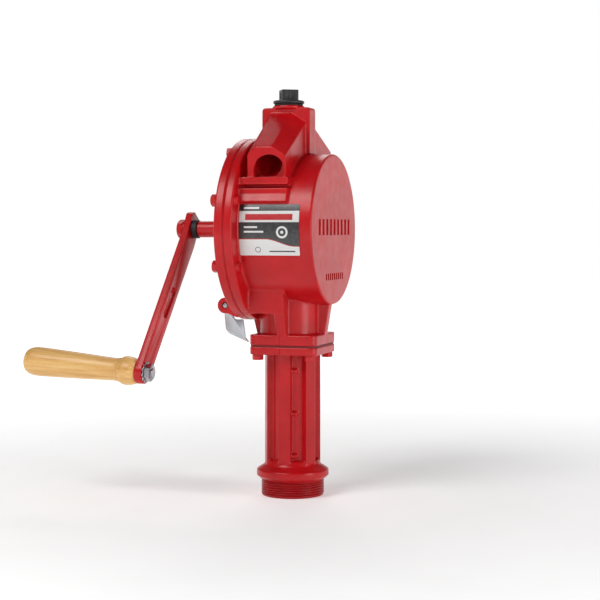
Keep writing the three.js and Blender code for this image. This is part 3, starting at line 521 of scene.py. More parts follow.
def red_paint(name="red_paint", bright=1.0, grain=1.0):
    """Gloss enamel over a sand casting: broad tone shifts, a painted highlight along outer edges, fine sand
    grain and a little orange peel.
    """
    n = Nodes(name)
    own = n.own()
    tone = n.noise(own, 0.035, 4.0, 0.6)
    deep = tuple(bright * c for c in (0.46, 0.002, 0.005))
    light = tuple(bright * c for c in (0.56, 0.005, 0.009))
    colour = n.ramp(tone, (0.32, deep), (0.68, light))
    # Outer edges are mixed towards a lighter red: a painted highlight along the edges.
    painted_edge_highlight = n.mix(n.math("MULTIPLY", n.edges(0.52, 0.60), 0.35), colour, (0.62, 0.03, 0.03))
    sand = n.noise(own, 0.75, 3.0, 0.6)
    peel = n.noise(own, 0.16, 2.0, 0.5)
    normal = n.bump(sand, 0.10 * grain, 0.55)
    normal = n.bump(peel, 0.30 * grain, 0.35, normal)
    rough = n.range(n.noise(own, 0.09, 3.0), 0.3, 0.7, 0.28, 0.40)
    return n.set(Base_Color=painted_edge_highlight, Roughness=rough, Normal=normal, Coat_Weight=0.12, Coat_Roughness=0.2,
                 Specular_IOR_Level=0.32)


def metal(name, colour, rough, stretch=(1.0, 1.0, 1.0), scratch=0.03, stain=(0.6, 0.6, 0.6)):
    """Bare or plated metal with fine scratches, clouded tone and brighter edges."""
    n = Nodes(name)
    own = n.own()
    cloud = n.noise(own, 0.12, 4.0, 0.6)
    tint = n.ramp(cloud, (0.3, tuple(a * b for a, b in zip(colour, stain))), (0.7, colour))
    bright = tuple(min(1.0, 1.25 * c) for c in colour)
    tint = n.mix(n.math("MULTIPLY", n.edges(0.52, 0.62), 0.5), tint, bright)
    lines = n.noise(n.scaled(own, stretch), 1.1, 2.0, 0.7)
    roughness = n.range(cloud, 0.3, 0.7, rough * 0.8, rough * 1.3)
    return n.set(Base_Color=tint, Metallic=1.0, Roughness=roughness, Normal=n.bump(lines, scratch, 0.5))


def moulded(name, colour, rough, bump=0.03, scale=1.2):
    """Plastic, rubber, carbon or fibre: slight tone shifts and a fine moulded texture."""
    n = Nodes(name)
    own = n.own()
    tone = n.noise(own, 0.2, 4.0, 0.6)
    tint = n.ramp(tone, (0.3, tuple(0.75 * c for c in colour)), (0.7, tuple(1.2 * c for c in colour)))
    tint = n.mix(n.math("MULTIPLY", n.edges(0.53, 0.62), 0.5), tint, tuple(2.4 * c for c in colour))
    roughness = n.range(n.noise(own, 0.5, 3.0), 0.3, 0.7, rough * 0.88, rough * 1.15)
    grain = n.bump(n.noise(own, scale, 3.0), bump, 0.6)
    return n.set(Base_Color=tint, Roughness=roughness, Normal=grain)


def maple():
    """Lacquered maple with the grain along the piece's own X, faint rings and short flecks."""
    n = Nodes("maple")
    own = n.local()
    wander = n.noise(n.scaled(own, (0.012, 0.09, 0.09)), 1.0, 2.0)
    rings = n.noise(n.scaled(own, (0.010, 0.33, 0.33)), 1.0, 4.0, 0.6, 0.6)
    fibre = n.noise(n.scaled(own, (0.06, 3.2, 3.2)), 1.0, 3.0, 0.7)
    fleck = n.noise(n.scaled(own, (0.25, 2.2, 2.2)), 1.0, 2.0, 0.5)
    tone = n.math("ADD", n.math("MULTIPLY", rings, 0.62), n.math("MULTIPLY", wander, 0.38))
    colour = n.ramp(tone, (0.33, (0.62, 0.31, 0.085)), (0.45, (0.83, 0.47, 0.155)),
                    (0.56, (0.92, 0.58, 0.22)), (0.70, (0.96, 0.66, 0.29)))
    colour = n.mix(n.range(fibre, 0.35, 0.75, 0.0, 0.28), colour, (0.55, 0.28, 0.09))
    colour = n.mix(n.range(fleck, 0.62, 0.74, 0.0, 0.35), colour, (0.42, 0.20, 0.06))
    normal = n.bump(fibre, 0.05, 0.4)
    return n.set(Base_Color=colour, Roughness=n.range(rings, 0.3, 0.7, 0.30, 0.42), Normal=normal,
                 Coat_Weight=0.15, Coat_Roughness=0.15, Specular_IOR_Level=0.35)


def plate_print():
    """The name plate's generic print: bands, a wave and plain bars, from its own u and v in mm."""
    n = Nodes("plate_print")
    split = n.tree.nodes.new("ShaderNodeSeparateXYZ")
    n.put(split.inputs[0], n.local())
    u, v = split.outputs[0], split.outputs[1]

    def inside(u0, u1, v0, v1):
        across = n.math("MULTIPLY", n.math("GREATER_THAN", u, u0), n.math("LESS_THAN", u, u1))
        up = n.math("MULTIPLY", n.math("GREATER_THAN", v, v0), n.math("LESS_THAN", v, v1))
        return n.math("MULTIPLY", across, up)

    def ring(centre_u, centre_v, outer, inner):
        du = n.math("SUBTRACT", u, centre_u)
        dv = n.math("SUBTRACT", v, centre_v)
        far = n.math("SQRT", n.math("ADD", n.math("MULTIPLY", du, du), n.math("MULTIPLY", dv, dv)))
        return n.math("MULTIPLY", n.math("LESS_THAN", far, outer), n.math("GREATER_THAN", far, inner))

    white = (0.72, 0.72, 0.71)
    black = (0.008, 0.008, 0.009)
    grey = (0.022, 0.023, 0.025)
    red = (0.50, 0.008, 0.015)
    wave = n.range(u, 26.0, 54.0, 15.2, 8.5, "SMOOTHSTEP")
    colour = n.mix(n.math("GREATER_THAN", v, wave), white, red)
    colour = n.mix(n.math("GREATER_THAN", v, n.math("ADD", wave, 0.7)), colour, grey)
    colour = n.mix(n.math("GREATER_THAN", v, 31.0), colour, white)
    colour = n.mix(n.math("GREATER_THAN", v, 41.5), colour, black)
    colour = n.mix(inside(4.0, 19.0, 43.4, 45.2), colour, white)
    colour = n.mix(inside(6.0, 52.0, 33.0, 38.6), colour, red)
    for length, row in ((13.0, 25.6), (19.0, 21.4)):
        colour = n.mix(inside(5.0, 5.0 + length, row, row + 1.7), colour, white)
    colour = n.mix(ring(42.0, 21.8, 5.6, 3.7), colour, white)
    colour = n.mix(ring(42.0, 21.8, 1.5, 0.0), colour, white)
    colour = n.mix(inside(29.0, 54.0, 3.4, 4.6), colour, grey)
    colour = n.mix(ring(18.0, 5.6, 2.7, 2.1), colour, grey)
    colour = n.mix(n.range(n.noise(n.local(), 0.25, 3.0), 0.35, 0.8, 0.0, 0.10), colour, (0.4, 0.38, 0.35))
    normal = n.bump(n.noise(n.local(), 0.5, 2.0), 0.02, 0.4)
    rough = n.range(n.noise(n.local(), 0.1), 0.3, 0.7, 0.30, 0.42)
    return n.set(Base_Color=colour, Roughness=rough, Normal=normal, Coat_Weight=0.3, Coat_Roughness=0.2)


PAINT = red_paint()
PAINT_SMOOTH = red_paint("red_paint_smooth", 1.0, 0.45)
THREAD_PAINT = red_paint("red_paint_thread", 0.75, 0.3)
ZINC = metal("zinc", (0.50, 0.515, 0.54), 0.30, (0.4, 0.4, 2.5), 0.02, (0.62, 0.63, 0.66))
STEEL = metal("steel", (0.50, 0.50, 0.52), 0.34, (0.3, 1.5, 1.5), 0.03)
IRON = metal("machined_iron", (0.25, 0.25, 0.26), 0.45, (0.3, 1.5, 1.5), 0.05)
BRONZE = metal("bronze", (0.60, 0.39, 0.17), 0.32, (0.3, 1.5, 1.5), 0.03)
BLACK = moulded("black_plastic", (0.022, 0.022, 0.024), 0.45)
GASKET = moulded("gasket_edge", (0.13, 0.006, 0.008), 0.6, 0.05, 1.5)
RUBBER = moulded("rubber", (0.012, 0.012, 0.012), 0.6)
CARBON = moulded("carbon", (0.02, 0.02, 0.022), 0.5)
FIBRE = moulded("fibre", (0.10, 0.085, 0.065), 0.85, 0.08, 2.0)
MAPLE = maple()
PLATE_PRINT = plate_print()

# ------------------------------------------------------------ casing


def bolt_centres():
    """Y, Z of the cover's bolts. One place, behind the hanger's lug, has none."""
    step = 2 * math.pi / BOLT_PLACES
    turn = [math.radians(BOLT_FIRST_DEG) + i * step for i in range(BOLT_PLACES) if i != BOLT_LEFT_OUT]
    return [(-BOLT_CIRCLE * math.cos(a), BOLT_CIRCLE * math.sin(a)) for a in turn]


def square_centres():
    """X, Y of the square flanges' bolts."""
    corners = ((-1, -1), (1, -1), (1, 1), (-1, 1))
    return [(x * SQUARE_BOLT_OFFSET, y * SQUARE_BOLT_OFFSET) for x, y in corners]


def parting_line(low, high):
    """A shallow groove down the front of a square flange."""
    return box(PARTING_X, (-SQUARE_HALF - 1, -SQUARE_HALF + 0.5), (low - 1, high + 1))


def duct(side, root, end, end_y, floor):
    """Half of the A-shaped duct, towards the front (-1) or the back (1)."""
    points = [(x, side * TOWER_HALF_DEPTH, z) for x, z in root]
    points += [(x, side * end_y, z) for x, z in end]
    sides = ((root, TOWER_HALF_DEPTH, TOWER_SIDE_BOTTOM), (end, end_y, floor), (end, end_y - 22, floor - 6))
    for outline, y, z in sides:
        points += [(outline[0][0], side * y, z), (outline[-1][0], side * y, z)]
    return hull(points)


def mouth_nubs():
    """Small round feeder marks left on the casting's front."""
    places = ((-13.3, -66, 48.3), (13.2, -66, 47.3), (-24.5, -66, 46.8), (-8.7, -66.2, 43.5))
    return [moved(rod("y", 1.3, -0.7, 3, sides=24), place) for place in places]


def drum():
    edge, fillet = 1.2, 1.5
    return revolve("x", [
        (0, DRUM_END_X), (DRUM_RADIUS - edge, DRUM_END_X), (DRUM_RADIUS - edge / 3, DRUM_END_X - edge / 3),
        (DRUM_RADIUS, DRUM_END_X - edge), (DRUM_RADIUS, FLANGE_BACK_X + fillet),
        (DRUM_RADIUS + fillet, FLANGE_BACK_X), (FLANGE_RADIUS - 1, FLANGE_BACK_X),
        (FLANGE_RADIUS, FLANGE_BACK_X - 1), (FLANGE_RADIUS, FLANGE_FACE_X), (0, FLANGE_FACE_X),
    ], ROUND)


def tower_shapes():
    """The tower's plate, the step and pad below the mouth, and the ring under the cap."""
    left, right = TOWER_X - TOWER_HALF_WIDTH, TOWER_X + TOWER_HALF_WIDTH
    top, corner = TOWER_TOP - TOWER_CORNER, TOWER_CORNER
    outline = [(left, TOWER_FOOT), (right, TOWER_FOOT)]
    outline += arc((right - corner, top), corner, 0, 90, 6) + arc((left + corner, top), corner, 90, 180, 6)
    ring_top = span("vent_seal", 2)[0] - SHAFT_Z
    start_x = FLANGE_BACK_X - 1
    return [
        prism("y", outline, -TOWER_HALF_DEPTH, TOWER_HALF_DEPTH),
        box((start_x, LEDGE_X), (LEDGE_Y, -40), (LEDGE_Z, MOUTH_FLOOR)),
        prism("x", PAD_OUTLINE, start_x, PAD_X),
        rod("z", VENT_RING_RADIUS, TOWER_TOP - 1, ring_top, (TOWER_X, 0), 96),
    ]


def neck_shapes(low, high):
    """Web, tube, ribs and port block above the upper square flange, and the flange itself."""
    foot = high - 1
    web_top = NECK_TOP - 5
    edge = FLANGE_FACE_X + 0.3
    web = [(edge, web_top), (edge, -88), (-34.7, foot), (SQUARE_HALF, foot), (DRUM_END_X - 1, web_top)]
    rib = [(0, foot), (0.2 - SQUARE_HALF, foot), (PORT_BLOCK_Y, PORT_BLOCK_Z), (PORT_BLOCK_Y, NECK_TOP)]
    rib.append((0, NECK_TOP))
    return [
        prism("y", web, -WEB_HALF, WEB_HALF),
        rod("z", NECK_RADIUS, foot, NECK_TOP + 10, (NECK_X, 0), sides=128),
        prism("x", rib, *RIB_X),
        prism("x", [(-y, z) for y, z in rib], *RIB_X),
        box(PORT_BLOCK_X, (PORT_BLOCK_Y, 0), (PORT_BLOCK_Z, NECK_TOP)),
        prism("z", rounded_square(SQUARE_HALF, SQUARE_CORNER), low, high),
    ]


def outlet_tools():
    """The mouth's round with its flat floor, and the passage that slants up from it."""
    floor = [box((-40, 40), (-90, 20), (0, MOUTH_FLOOR))]
    mouth = new_object("mouth_bore", [rod("y", MOUTH_BORE, MOUTH_Y - 5, MOUTH_Y + 12, MOUTH_CENTRE, 96)])
    middle = (TOWER_X, MOUTH_Y + PASSAGE_MIDDLE,
              MOUTH_CENTRE[1] + PASSAGE_MIDDLE * math.tan(math.radians(PASSAGE_SLOPE_DEG)))
    passage = moved(turned(rod("y", PASSAGE_RADIUS, -36, 36), "x", PASSAGE_SLOPE_DEG), middle)
    slanted = new_object("passage_tool", [passage])
    for tool in (mouth, slanted):
        carve(tool, floor)
    return mouth, slanted


def end_bars():
    """Two rows of plain recessed bars on the drum's closed end."""
    rows = ((9, 11.6, 3.4, 2, 7.5), (9, 6.4, 1.9, -45, 3.2))
    return [box((DRUM_END_X - 1, DRUM_END_X + 2), (y - half, y + half), (z - tall, z + tall))
            for count, pitch, half, z, tall in rows
            for y in (pitch * (i - (count - 1) / 2) for i in range(count))]


def casing():
    low, high = (z - SHAFT_Z for z in UPPER_FLANGE)
    ears = [rod("x", EAR_RADIUS, FLANGE_BACK_X - 1, FLANGE_BACK_X + EAR_LENGTH, centre)
            for centre in bolt_centres()]
    ducts = [duct(-1, DUCT_ROOT, DUCT_MOUTH, -MOUTH_Y, MOUTH_FLOOR - 4.2),
             duct(1, BUTTRESS_ROOT, BUTTRESS_END, BUTTRESS_Y, BUTTRESS_FLOOR)]
    shapes = [drum(), *tower_shapes(), *neck_shapes(low, high), *ears, *mouth_nubs(), *ducts]
    obj = cast("casing_body", shapes, SHAFT_FRAME)
    for tool in outlet_tools():
        combine(obj, tool, "DIFFERENCE")
    carve(obj, [
        rod("x", CHAMBER_RADIUS, FLANGE_FACE_X - 5, CHAMBER_END_X, sides=160),
        rod("z", INLET_RADIUS, low - 5, NECK_TOP, sides=96),
        rod("z", VENT_HOLE, NECK_TOP + 100, TOWER_TOP + 13.4, (TOWER_X, 0)),
        rod("x", BUSH_HOLE, CHAMBER_END_X - 2, DRUM_END_X - 3),
        *[rod("x", BOLT_HOLE, FLANGE_FACE_X - 2, FLANGE_BACK_X + 2.7, at, 32) for at in bolt_centres()],
        *[rod("z", BOLT_HOLE, low - 2, high - 1.5, at, 32) for at in square_centres()],
        parting_line(low, high),
        *end_bars(),
    ])
    finish_piece(obj, PAINT, "pump", "pump_casing", "outlet_tower", "inlet_neck")


def cover():
    boss_end = span("end_cover", 0)[0]
    disc = revolve("x", [
        (0, COVER_INNER_X), (FLANGE_RADIUS, COVER_INNER_X), (FLANGE_RADIUS, BOLT_SEAT_X + 1),
        (FLANGE_RADIUS - 1, BOLT_SEAT_X), (24, BOLT_SEAT_X), (17, BOLT_SEAT_X - 8), (16, boss_end),
        (0, boss_end),
    ], ROUND)
    fin = hull([(x, y, z) for y in (-2.5, 2.5) for x, z in (
        (BOLT_SEAT_X + 1, 10), (BOLT_SEAT_X + 1, 62), (boss_end + 6, 10), (boss_end + 6, 15))])
    fins = [turned(fin, "x", angle) for angle in (45, 135, 225, 315)]
    pin = (HANGER_PIN.x, HANGER_PIN.z - SHAFT_Z)
    nose = arc(pin, 7.7, 67, 285)
    lug = prism("y", [(BOLT_SEAT_X + 2, -56), *nose, (BOLT_SEAT_X + 2, -84.5)], -30, -20)
    obj = cast("cover_body", [disc, lug, *fins], SHAFT_FRAME)
    carve(obj, [
        rod("x", SHAFT_HOLE, boss_end - 3, COVER_INNER_X + 3),
        rod("x", BUSH_HOLE, BOLT_SEAT_X - 4, COVER_INNER_X + 3),
        rod("x", 12, boss_end - 3, boss_end + 12),
        rod("y", 3.1, -33, -17, pin, 48),
        *[rod("x", BOLT_HOLE, BOLT_SEAT_X - 2, COVER_INNER_X + 2, at, 32) for at in bolt_centres()],
    ])
    finish_piece(obj, PAINT, "pump", "end_cover")


def cover_seam():
    """The cover's gasket, painted over where it shows at the rim."""
    inner, rim = CHAMBER_RADIUS + 1, FLANGE_RADIUS - 0.35
    start, end = COVER_INNER_X + 0.02, FLANGE_FACE_X - 0.02
    middle = (COVER_INNER_X + FLANGE_FACE_X) / 2
    profile = [(inner, start), (rim - 0.15, start), (rim, middle), (rim - 0.15, end), (inner, end)]
    obj = new_object("seam_ring", [revolve("x", profile, ROUND)], SHAFT_FRAME)
    carve(obj, [rod("x", BOLT_HOLE, COVER_INNER_X - 1, FLANGE_FACE_X + 1, at, 32) for at in bolt_centres()])
    finish_piece(obj, PAINT_SMOOTH, "pump", "cover_gasket")


def column():
    low, high = LOWER_FLANGE
    rib = box((-RIB_WIDTH / 2, RIB_WIDTH / 2), (-RIB_RADIUS, 0), (COLLAR_TOP + 1, low + 1))
    ribs = [turned(rib, "z", i * 360 / RIB_COUNT) for i in range(RIB_COUNT)]
    foot = revolve("z", [
        (0, COLLAR_TOP + 9), (RIB_RADIUS - 1, COLLAR_TOP + 9), (RIB_RADIUS + 1.4, COLLAR_TOP + 4),
        (COLLAR_RADIUS - 0.6, COLLAR_TOP), (COLLAR_RADIUS, COLLAR_TOP - 0.8), (COLLAR_RADIUS, COLLAR_EDGE),
        (THREAD_RADIUS + 0.5, 0.2), (THREAD_RADIUS - 1.6, -1.0), (0, -1.0),
    ], 200)
    nubs = [turned(box((-2.5, 2.5), (-23.6, -15), (z - 1.6, z + 1.6)), "z", 24) for z in (104.5, 64.0, 24.0)]
    flange = prism("z", rounded_square(SQUARE_HALF, SQUARE_CORNER), low, high)
    core = rod("z", CORE_RADIUS, COLLAR_EDGE, low + 1, sides=128)
    obj = cast("inlet_casting", [flange, core, foot, *ribs, *nubs], voxel=0.7)
    carve(obj, [
        rod("z", SUCTION_BORE, -5, high + 5, sides=96),
        rod("z", 22.3, high - 4.2, high + 5, sides=96),
        *[rod("z", BOLT_HOLE, low - 2, high + 2, at, 32) for at in square_centres()],
        parting_line(low, high),
    ])
    finish_piece(obj, PAINT, "pump", "inlet_column")
    bottom = cad_box[0][2] / MM
    helix = threaded("z", THREAD_RADIUS, SUCTION_BORE, bottom, 0.0, THREAD_PITCH, THREAD_DEPTH, 180)
    thread = new_object("bung_thread", [helix])
    finish_piece(thread, THREAD_PAINT, "pump")


# ------------------------------------------------------------ fasteners


def hex_piece(name, axis, across, start, end, bore, matrix):
    """A hexagon, bored if asked, whose outer corners are turned off at both ends."""
    corner = across / math.sqrt(3)
    half = across / 2
    angles = [math.radians(a) for a in range(0, 360, 60)]
    outline = [(corner * math.cos(a), corner * math.sin(a)) for a in angles]
    obj = new_object(name, [prism(axis, outline, start, end)], matrix)
    drop = (corner - half) * 0.62
    limit = new_object(name + "_limit", [revolve(axis, [
        (0, start), (half * 0.97, start), (corner + 0.1, start + drop),
        (corner + 0.1, end - drop), (half * 0.97, end), (0, end)], 96)])
    combine(obj, limit, "INTERSECT")
    if bore:
        carve(obj, [rod(axis, bore, start - 1, end + 1, sides=48)])
    return obj


def join_into(obj, *others):
    """Adds other objects' meshes to the first, which keeps its name and place."""
    net = bmesh.new()
    for piece in (obj, *others):
        net.from_mesh(piece.data)
    net.to_mesh(obj.data)
    net.free()
    for piece in others:
        bpy.data.objects.remove(piece)


def hex_bolt(name, axis, across, seat, head, tip, matrix, radius=BOLT_RADIUS):
    """Hexagon head with a washer face, and a shank threaded towards its tip."""
    outward = 1 if seat > tip else -1
    face = seat + outward * 0.5
    top = seat + outward * head
    obj = hex_piece(name, axis, across, min(face, top), max(face, top), 0, matrix)
    disc = rod(axis, across * 0.49, min(seat, face) - 0.05, max(seat, face) + 0.05)
    thread = threaded(axis, radius, 0.05, min(seat, tip), max(seat, tip), 1.0, 0.35, 36)
    join_into(obj, new_object(name + "_face", [disc]), new_object(name + "_shank", [thread]))
    return obj


def casing_bolts():
    tip = span("cover_bolt_1", 0)[1]
    for i, (y, z) in enumerate(bolt_centres(), 1):
        matrix = SHAFT_FRAME @ Matrix.Translation((0, y, z)) @ Matrix.Rotation(0.55 * i, 4, "X")
        bolt = hex_bolt(f"cover_screw_{i}", "x", BOLT_ACROSS, BOLT_SEAT_X, COVER_BOLT_HEAD, tip, matrix)
        finish_piece(bolt, PAINT_SMOOTH, "pump", f"cover_bolt_{i}")
    low, high = span("flange_bolt_1", 2)
    seat = LOWER_FLANGE[0]
    for i, (x, y) in enumerate(square_centres(), 1):
        matrix = Matrix.Translation((x, y, 0))
        bolt = hex_bolt(f"flange_screw_{i}", "z", BOLT_ACROSS, seat, seat - low, high, matrix)
        finish_piece(bolt, PAINT_SMOOTH, "pump", f"flange_bolt_{i}")


# ------------------------------------------------------------ crank


def crank_shaft(square_x):
    """The shaft with its squared end, and the black block between it and the arm, whose black is partly a
    spacer's own colour and partly painted shade from the arm.
    """
    tip, back = span("drive_shaft", 0)
    shaft = new_object("shaft", [rod("x", SHAFT_RADIUS, square_x, back, chamfer=0.6)], CRANK_FRAME)
    square = new_object("shaft_square", [prism("x", rounded_square(5.4, 0.8), tip, square_x + 1)])
    join_into(shaft, square)
    carve(shaft, [rod("x", 4.3, tip - 1, square_x + 10)])
    finish_piece(shaft, PAINT_SMOOTH, "crank", "drive_shaft")

    # The ring is black where the arm shades the shaft: partly a black spacer, partly painted shade.
    inner, rim, edge = SHAFT_RADIUS - 0.3, 9, 8.5
    spacer = new_object("spacer", [revolve("x", [
        (inner, ARM_INNER_X + 0.3), (edge, ARM_INNER_X + 0.3), (rim, ARM_INNER_X + 0.9),
        (rim, square_x - 0.9), (edge, square_x - 0.3), (inner, square_x - 0.3)], 96)], CRANK_FRAME)
    finish_piece(spacer, RUBBER, "crank", "crank_spacer", slot="black_plastic")


def crank_arm(outer):
    """A flat bar that leans out below its bend, with a slot, a square hole and an eye."""
    half = ARM_HALF_WIDTH
    bottom = -ARM_LENGTH - 2 * half
    lean = (bottom - ARM_BEND) * ARM_LEAN
    arm = new_object("arm", [prism("y", [
        (ARM_INNER_X, ARM_TOP + 5), (outer, ARM_TOP + 5), (outer, ARM_BEND), (outer + lean, bottom),
        (ARM_INNER_X + lean, bottom), (ARM_INNER_X, ARM_BEND)], -30, 30)], CRANK_FRAME)
    across = (ARM_INNER_X - 30, ARM_INNER_X + 30)
    front = new_object("arm_front", [prism("x", [
        (half - 4, ARM_TOP), (-half + 4, ARM_TOP), (-half, ARM_TOP - 4),
        *arc((0, -ARM_LENGTH), half, 180, 360, 32), (half, ARM_TOP - 4)], *across)])
    combine(arm, front, "INTERSECT")
    carve(arm, [
        prism("x", slot_outline((0, -85), 34, 9), *across),
        box(across, (-5.7, 5.7), (-5.7, 5.7)),
        rod("x", 4.8, *across, (0, -ARM_LENGTH), 48),
    ])
    bevel(arm, 0.7, 3, 40)
    finish_piece(arm, PAINT_SMOOTH, "crank", "crank_arm")


def gland_nut():
    low, high = span("packing_nut", 0)
    nut = hex_piece("gland_nut", "x", 27, low, span("end_cover", 0)[0] - 0.3, 0, SHAFT_FRAME)
    join_into(nut, new_object("gland_skirt", [rod("x", 11.7, high - 7, high)]))
    carve(nut, [rod("x", SHAFT_HOLE, low - 1, high + 1)])
    finish_piece(nut, STEEL, "pump", "packing_nut", slot="steel")


def crank():
    square_x = span("crank_spacer", 0)[1] + 0.3
    outer = ARM_INNER_X - ARM_THICKNESS
    crank_shaft(square_x)
    crank_arm(outer)
    washer = new_object("arm_washer", [revolve("x", [
        (4.4, outer - 2.3), (7.8, outer - 2.3), (8.2, outer - 1.9), (8.2, outer - 0.7),
        (7.8, outer - 0.3), (4.4, outer - 0.3)], 72)], CRANK_FRAME)
    finish_piece(washer, PAINT_SMOOTH, "crank", "crank_washer")
    screw = hex_bolt("arm_screw", "x", 16.5, outer - 2.6, 6, square_x + 6, CRANK_FRAME, 3.9)
    finish_piece(screw, PAINT_SMOOTH, "crank", "crank_screw")
    gland_nut()


def grip():
    face = -ARM_THICKNESS / 2 - 0.8
    length = GRIP_LENGTH
    profile = [
        (4.5, 0), (10.4, 0), (11.0, 0.5), (12.2, 3.2), (13.2, 7), (13.55, 10), (13.5, 12.6), (13.0, 14.8),
        (12.2, 16.4), (11.6, 17.3), (11.1, 17.6), (11.0, 18.1), (11.35, 18.5), (11.3, 19.2), (10.9, 19.6),
        (10.75, 20.1), (10.7, 22), (10.8, 27), (11.2, 37), (11.8, 50), (12.4, 64), (13.0, 80), (13.5, 94),
        (13.75, 103), (13.7, 107.5), (13.3, 111), (12.5, 114), (11.3, 116.4), (9.9, 117.7), (8.6, length),
        (7.8, length), (7.6, length - 0.4), (7.6, length - 9), (4.5, length - 9),
    ]
    turning = revolve("x", [(radius, face - along) for radius, along in profile], 128)
    obj = new_object("grip_turned", [turning], EYE_FRAME)
    finish_piece(obj, MAPLE, "grip", "grip", slot="maple", sharp=50)



def grip_hardware():
    """The bolt through the grip, its toothed washer and its nut."""
    half = ARM_THICKNESS / 2
    seat = -half - 0.8 - GRIP_LENGTH + 8.7
    bolt = new_object("grip_bolt", [
        revolve("x", [(0, seat - 4.2), (3.6, seat - 4.0), (5.4, seat - 3.2), (6.6, seat - 1.6), (7.0, seat),
                      (4.0, seat), (4.0, half + 0.5), (0, half + 0.5)], 72),
        threaded("x", 4.0, 0.05, half, half + 8.2, 1.25, 0.5, 48),
    ], EYE_FRAME)
    finish_piece(bolt, ZINC, "crank", "handle_bolt", slot="zinc")

    outline = []
    for i in range(WASHER_TEETH):
        for part, radius in ((0.12, 8.3), (0.28, 10.0), (0.72, 10.0), (0.88, 8.3)):
            angle = (i + part) * 2 * math.pi / WASHER_TEETH
            outline.append((radius * math.cos(angle), radius * math.sin(angle)))
    star = new_object("star_washer", [prism("x", outline, half + 0.3, half + 1.5)], EYE_FRAME)
    carve(star, [rod("x", 4.3, half, half + 3, sides=48)])
    twist_teeth(star, half + 0.9)
    bevel(star, 0.15, 2, 40)
    finish_piece(star, ZINC, "crank", "lock_washer", slot="zinc")
    nut = hex_piece("grip_nut", "x", 14.5, half + 1.8, half + 6.8, 4.3, EYE_FRAME)
    finish_piece(nut, ZINC, "crank", "handle_nut", slot="zinc")


def twist_teeth(obj, middle):
    """Twists a toothed washer's teeth, so that each bites with one edge."""
    for vertex in obj.data.vertices:
        x, y, z = (c / MM for c in vertex.co)
        if math.hypot(y, z) > 9:
            phase = (math.atan2(z, y) / (2 * math.pi) * WASHER_TEETH) % 1.0
            vertex.co.x = (middle + (x - middle) * 0.45 + (phase - 0.5) * 0.9) * MM


# ------------------------------------------------------------ cap, hanger, name plate


def at_cap_sides(shape):
    """The same shape at the four sides of the cap's square head."""
    return [moved(turned(shape, "z", CAP_TURN_DEG + a), (TOWER_X, 0, 0)) for a in (0, 90, 180, 270)]


def vent_cap():
    low, seal_top = span("vent_seal", 2)
    seat, flange_top = seal_top - SHAFT_Z, seal_top + 3.0 - SHAFT_Z
    plug_bottom, head_top = (z - SHAFT_Z for z in span("vent_cap", 2))
    at = (TOWER_X, 0)
    body = new_object("cap_body", [revolve("z", [
        (0, plug_bottom), (7.2, plug_bottom), (7.2, seat + 0.1), (14.4, seat + 0.1), (14.9, seat + 0.5),
        (15, seat + 1.2), (15, flange_top - 1.0), (14.5, flange_top - 0.3), (13.6, flange_top),
        (0, flange_top)], 128, at)], SHAFT_FRAME)
    square = prism("z", rounded_square(8, 1.2), flange_top - 1, head_top)
    head = new_object("cap_head", [moved(turned(square, "z", CAP_TURN_DEG), (TOWER_X, 0, 0))])
    carve(head, at_cap_sides(box((-4.2, 4.2), (-9, -7.1), (flange_top + 1.8, head_top - 2.6))))
    key = box((-0.9, 0.9), (-7.7, -6.5), (flange_top + 1, head_top - 2))
    keys = new_object("cap_keys", at_cap_sides(key))
    bevel(head, 0.5, 3, 40)
    join_into(body, head, keys)
    carve(body, [rod("z", 5.4, plug_bottom - 1, seat - 1, at), rod("z", 3, seat - 2, head_top - 4, at)])
    finish_piece(body, BLACK, "pump", "vent_cap", slot="black_plastic")
    low, high = low - SHAFT_Z, seat
    middle, half = (low + high) / 2, (high - low) / 2
    turn = np.linspace(0, 2 * math.pi, 24, False)
    ring = [(12.75 + half * math.cos(a), middle + half * math.sin(a)) for a in turn]
    seal = new_object("cap_seal", [revolve("z", ring, 128, at)], SHAFT_FRAME)
    finish_piece(seal, RUBBER, "pump", "vent_seal", slot="rubber")


def hanger():
    """A bent zinc sheet, hung on a rivet, with a sloping lip at its foot."""
    pin = (HANGER_PIN.x, HANGER_PIN.z - SHAFT_Z)
    low, high = span("nozzle_hanger", 1)
    x, top = pin[0], -86.6
    foot = [(-41, -105), (x - 2.9, -96.6)]
    outline = [*arc((x, pin[1] + 1), 5.2, 180, 0, 16), (x + 5, -84), (x + 5.9, -86), (x + 8, top),
               (-44.6, top), (-43.6, top - 1), *foot]
    lip = hull([(x, y, z + dz + rise) for x, z in foot
                for y, dz in ((low + 0.2, 0), (high, -4.5)) for rise in (0, 1.4)])
    obj = new_object("hanger_sheet", [prism("y", outline, low, low + 1.5)], SHAFT_FRAME)
    combine(obj, new_object("hanger_lip", [lip]), "UNION")
    carve(obj, [rod("y", 3, low - 2, low + 3, pin, 48)])
    bevel(obj, 0.35, 3, 35)
    finish_piece(obj, ZINC, "hanger", "nozzle_hanger", slot="zinc")
    low, high = span("hanger_pin", 1)
    rivet = new_object("hanger_rivet", [revolve("y", [
        (0, low), (1.2, low + 0.05), (2.2, low + 0.3), (2.6, low + 0.9), (2.6, high - 1.4),
        (4.0, high - 1.4), (4.0, high - 0.8), (3.2, high - 0.2), (0, high)], 64, pin)], SHAFT_FRAME)
    finish_piece(rivet, STEEL, "pump", "hanger_pin", slot="steel")


def plate_columns(width, corner):
    """Places across the sticker, closer together in its rounded corners."""
    near = corner * (1 - np.cos(np.linspace(0.2, math.pi / 2, 8)))
    middle = np.linspace(corner, width - corner, 60)[1:-1]
    return np.concatenate([[0], near, middle, width - near[::-1], [width]])


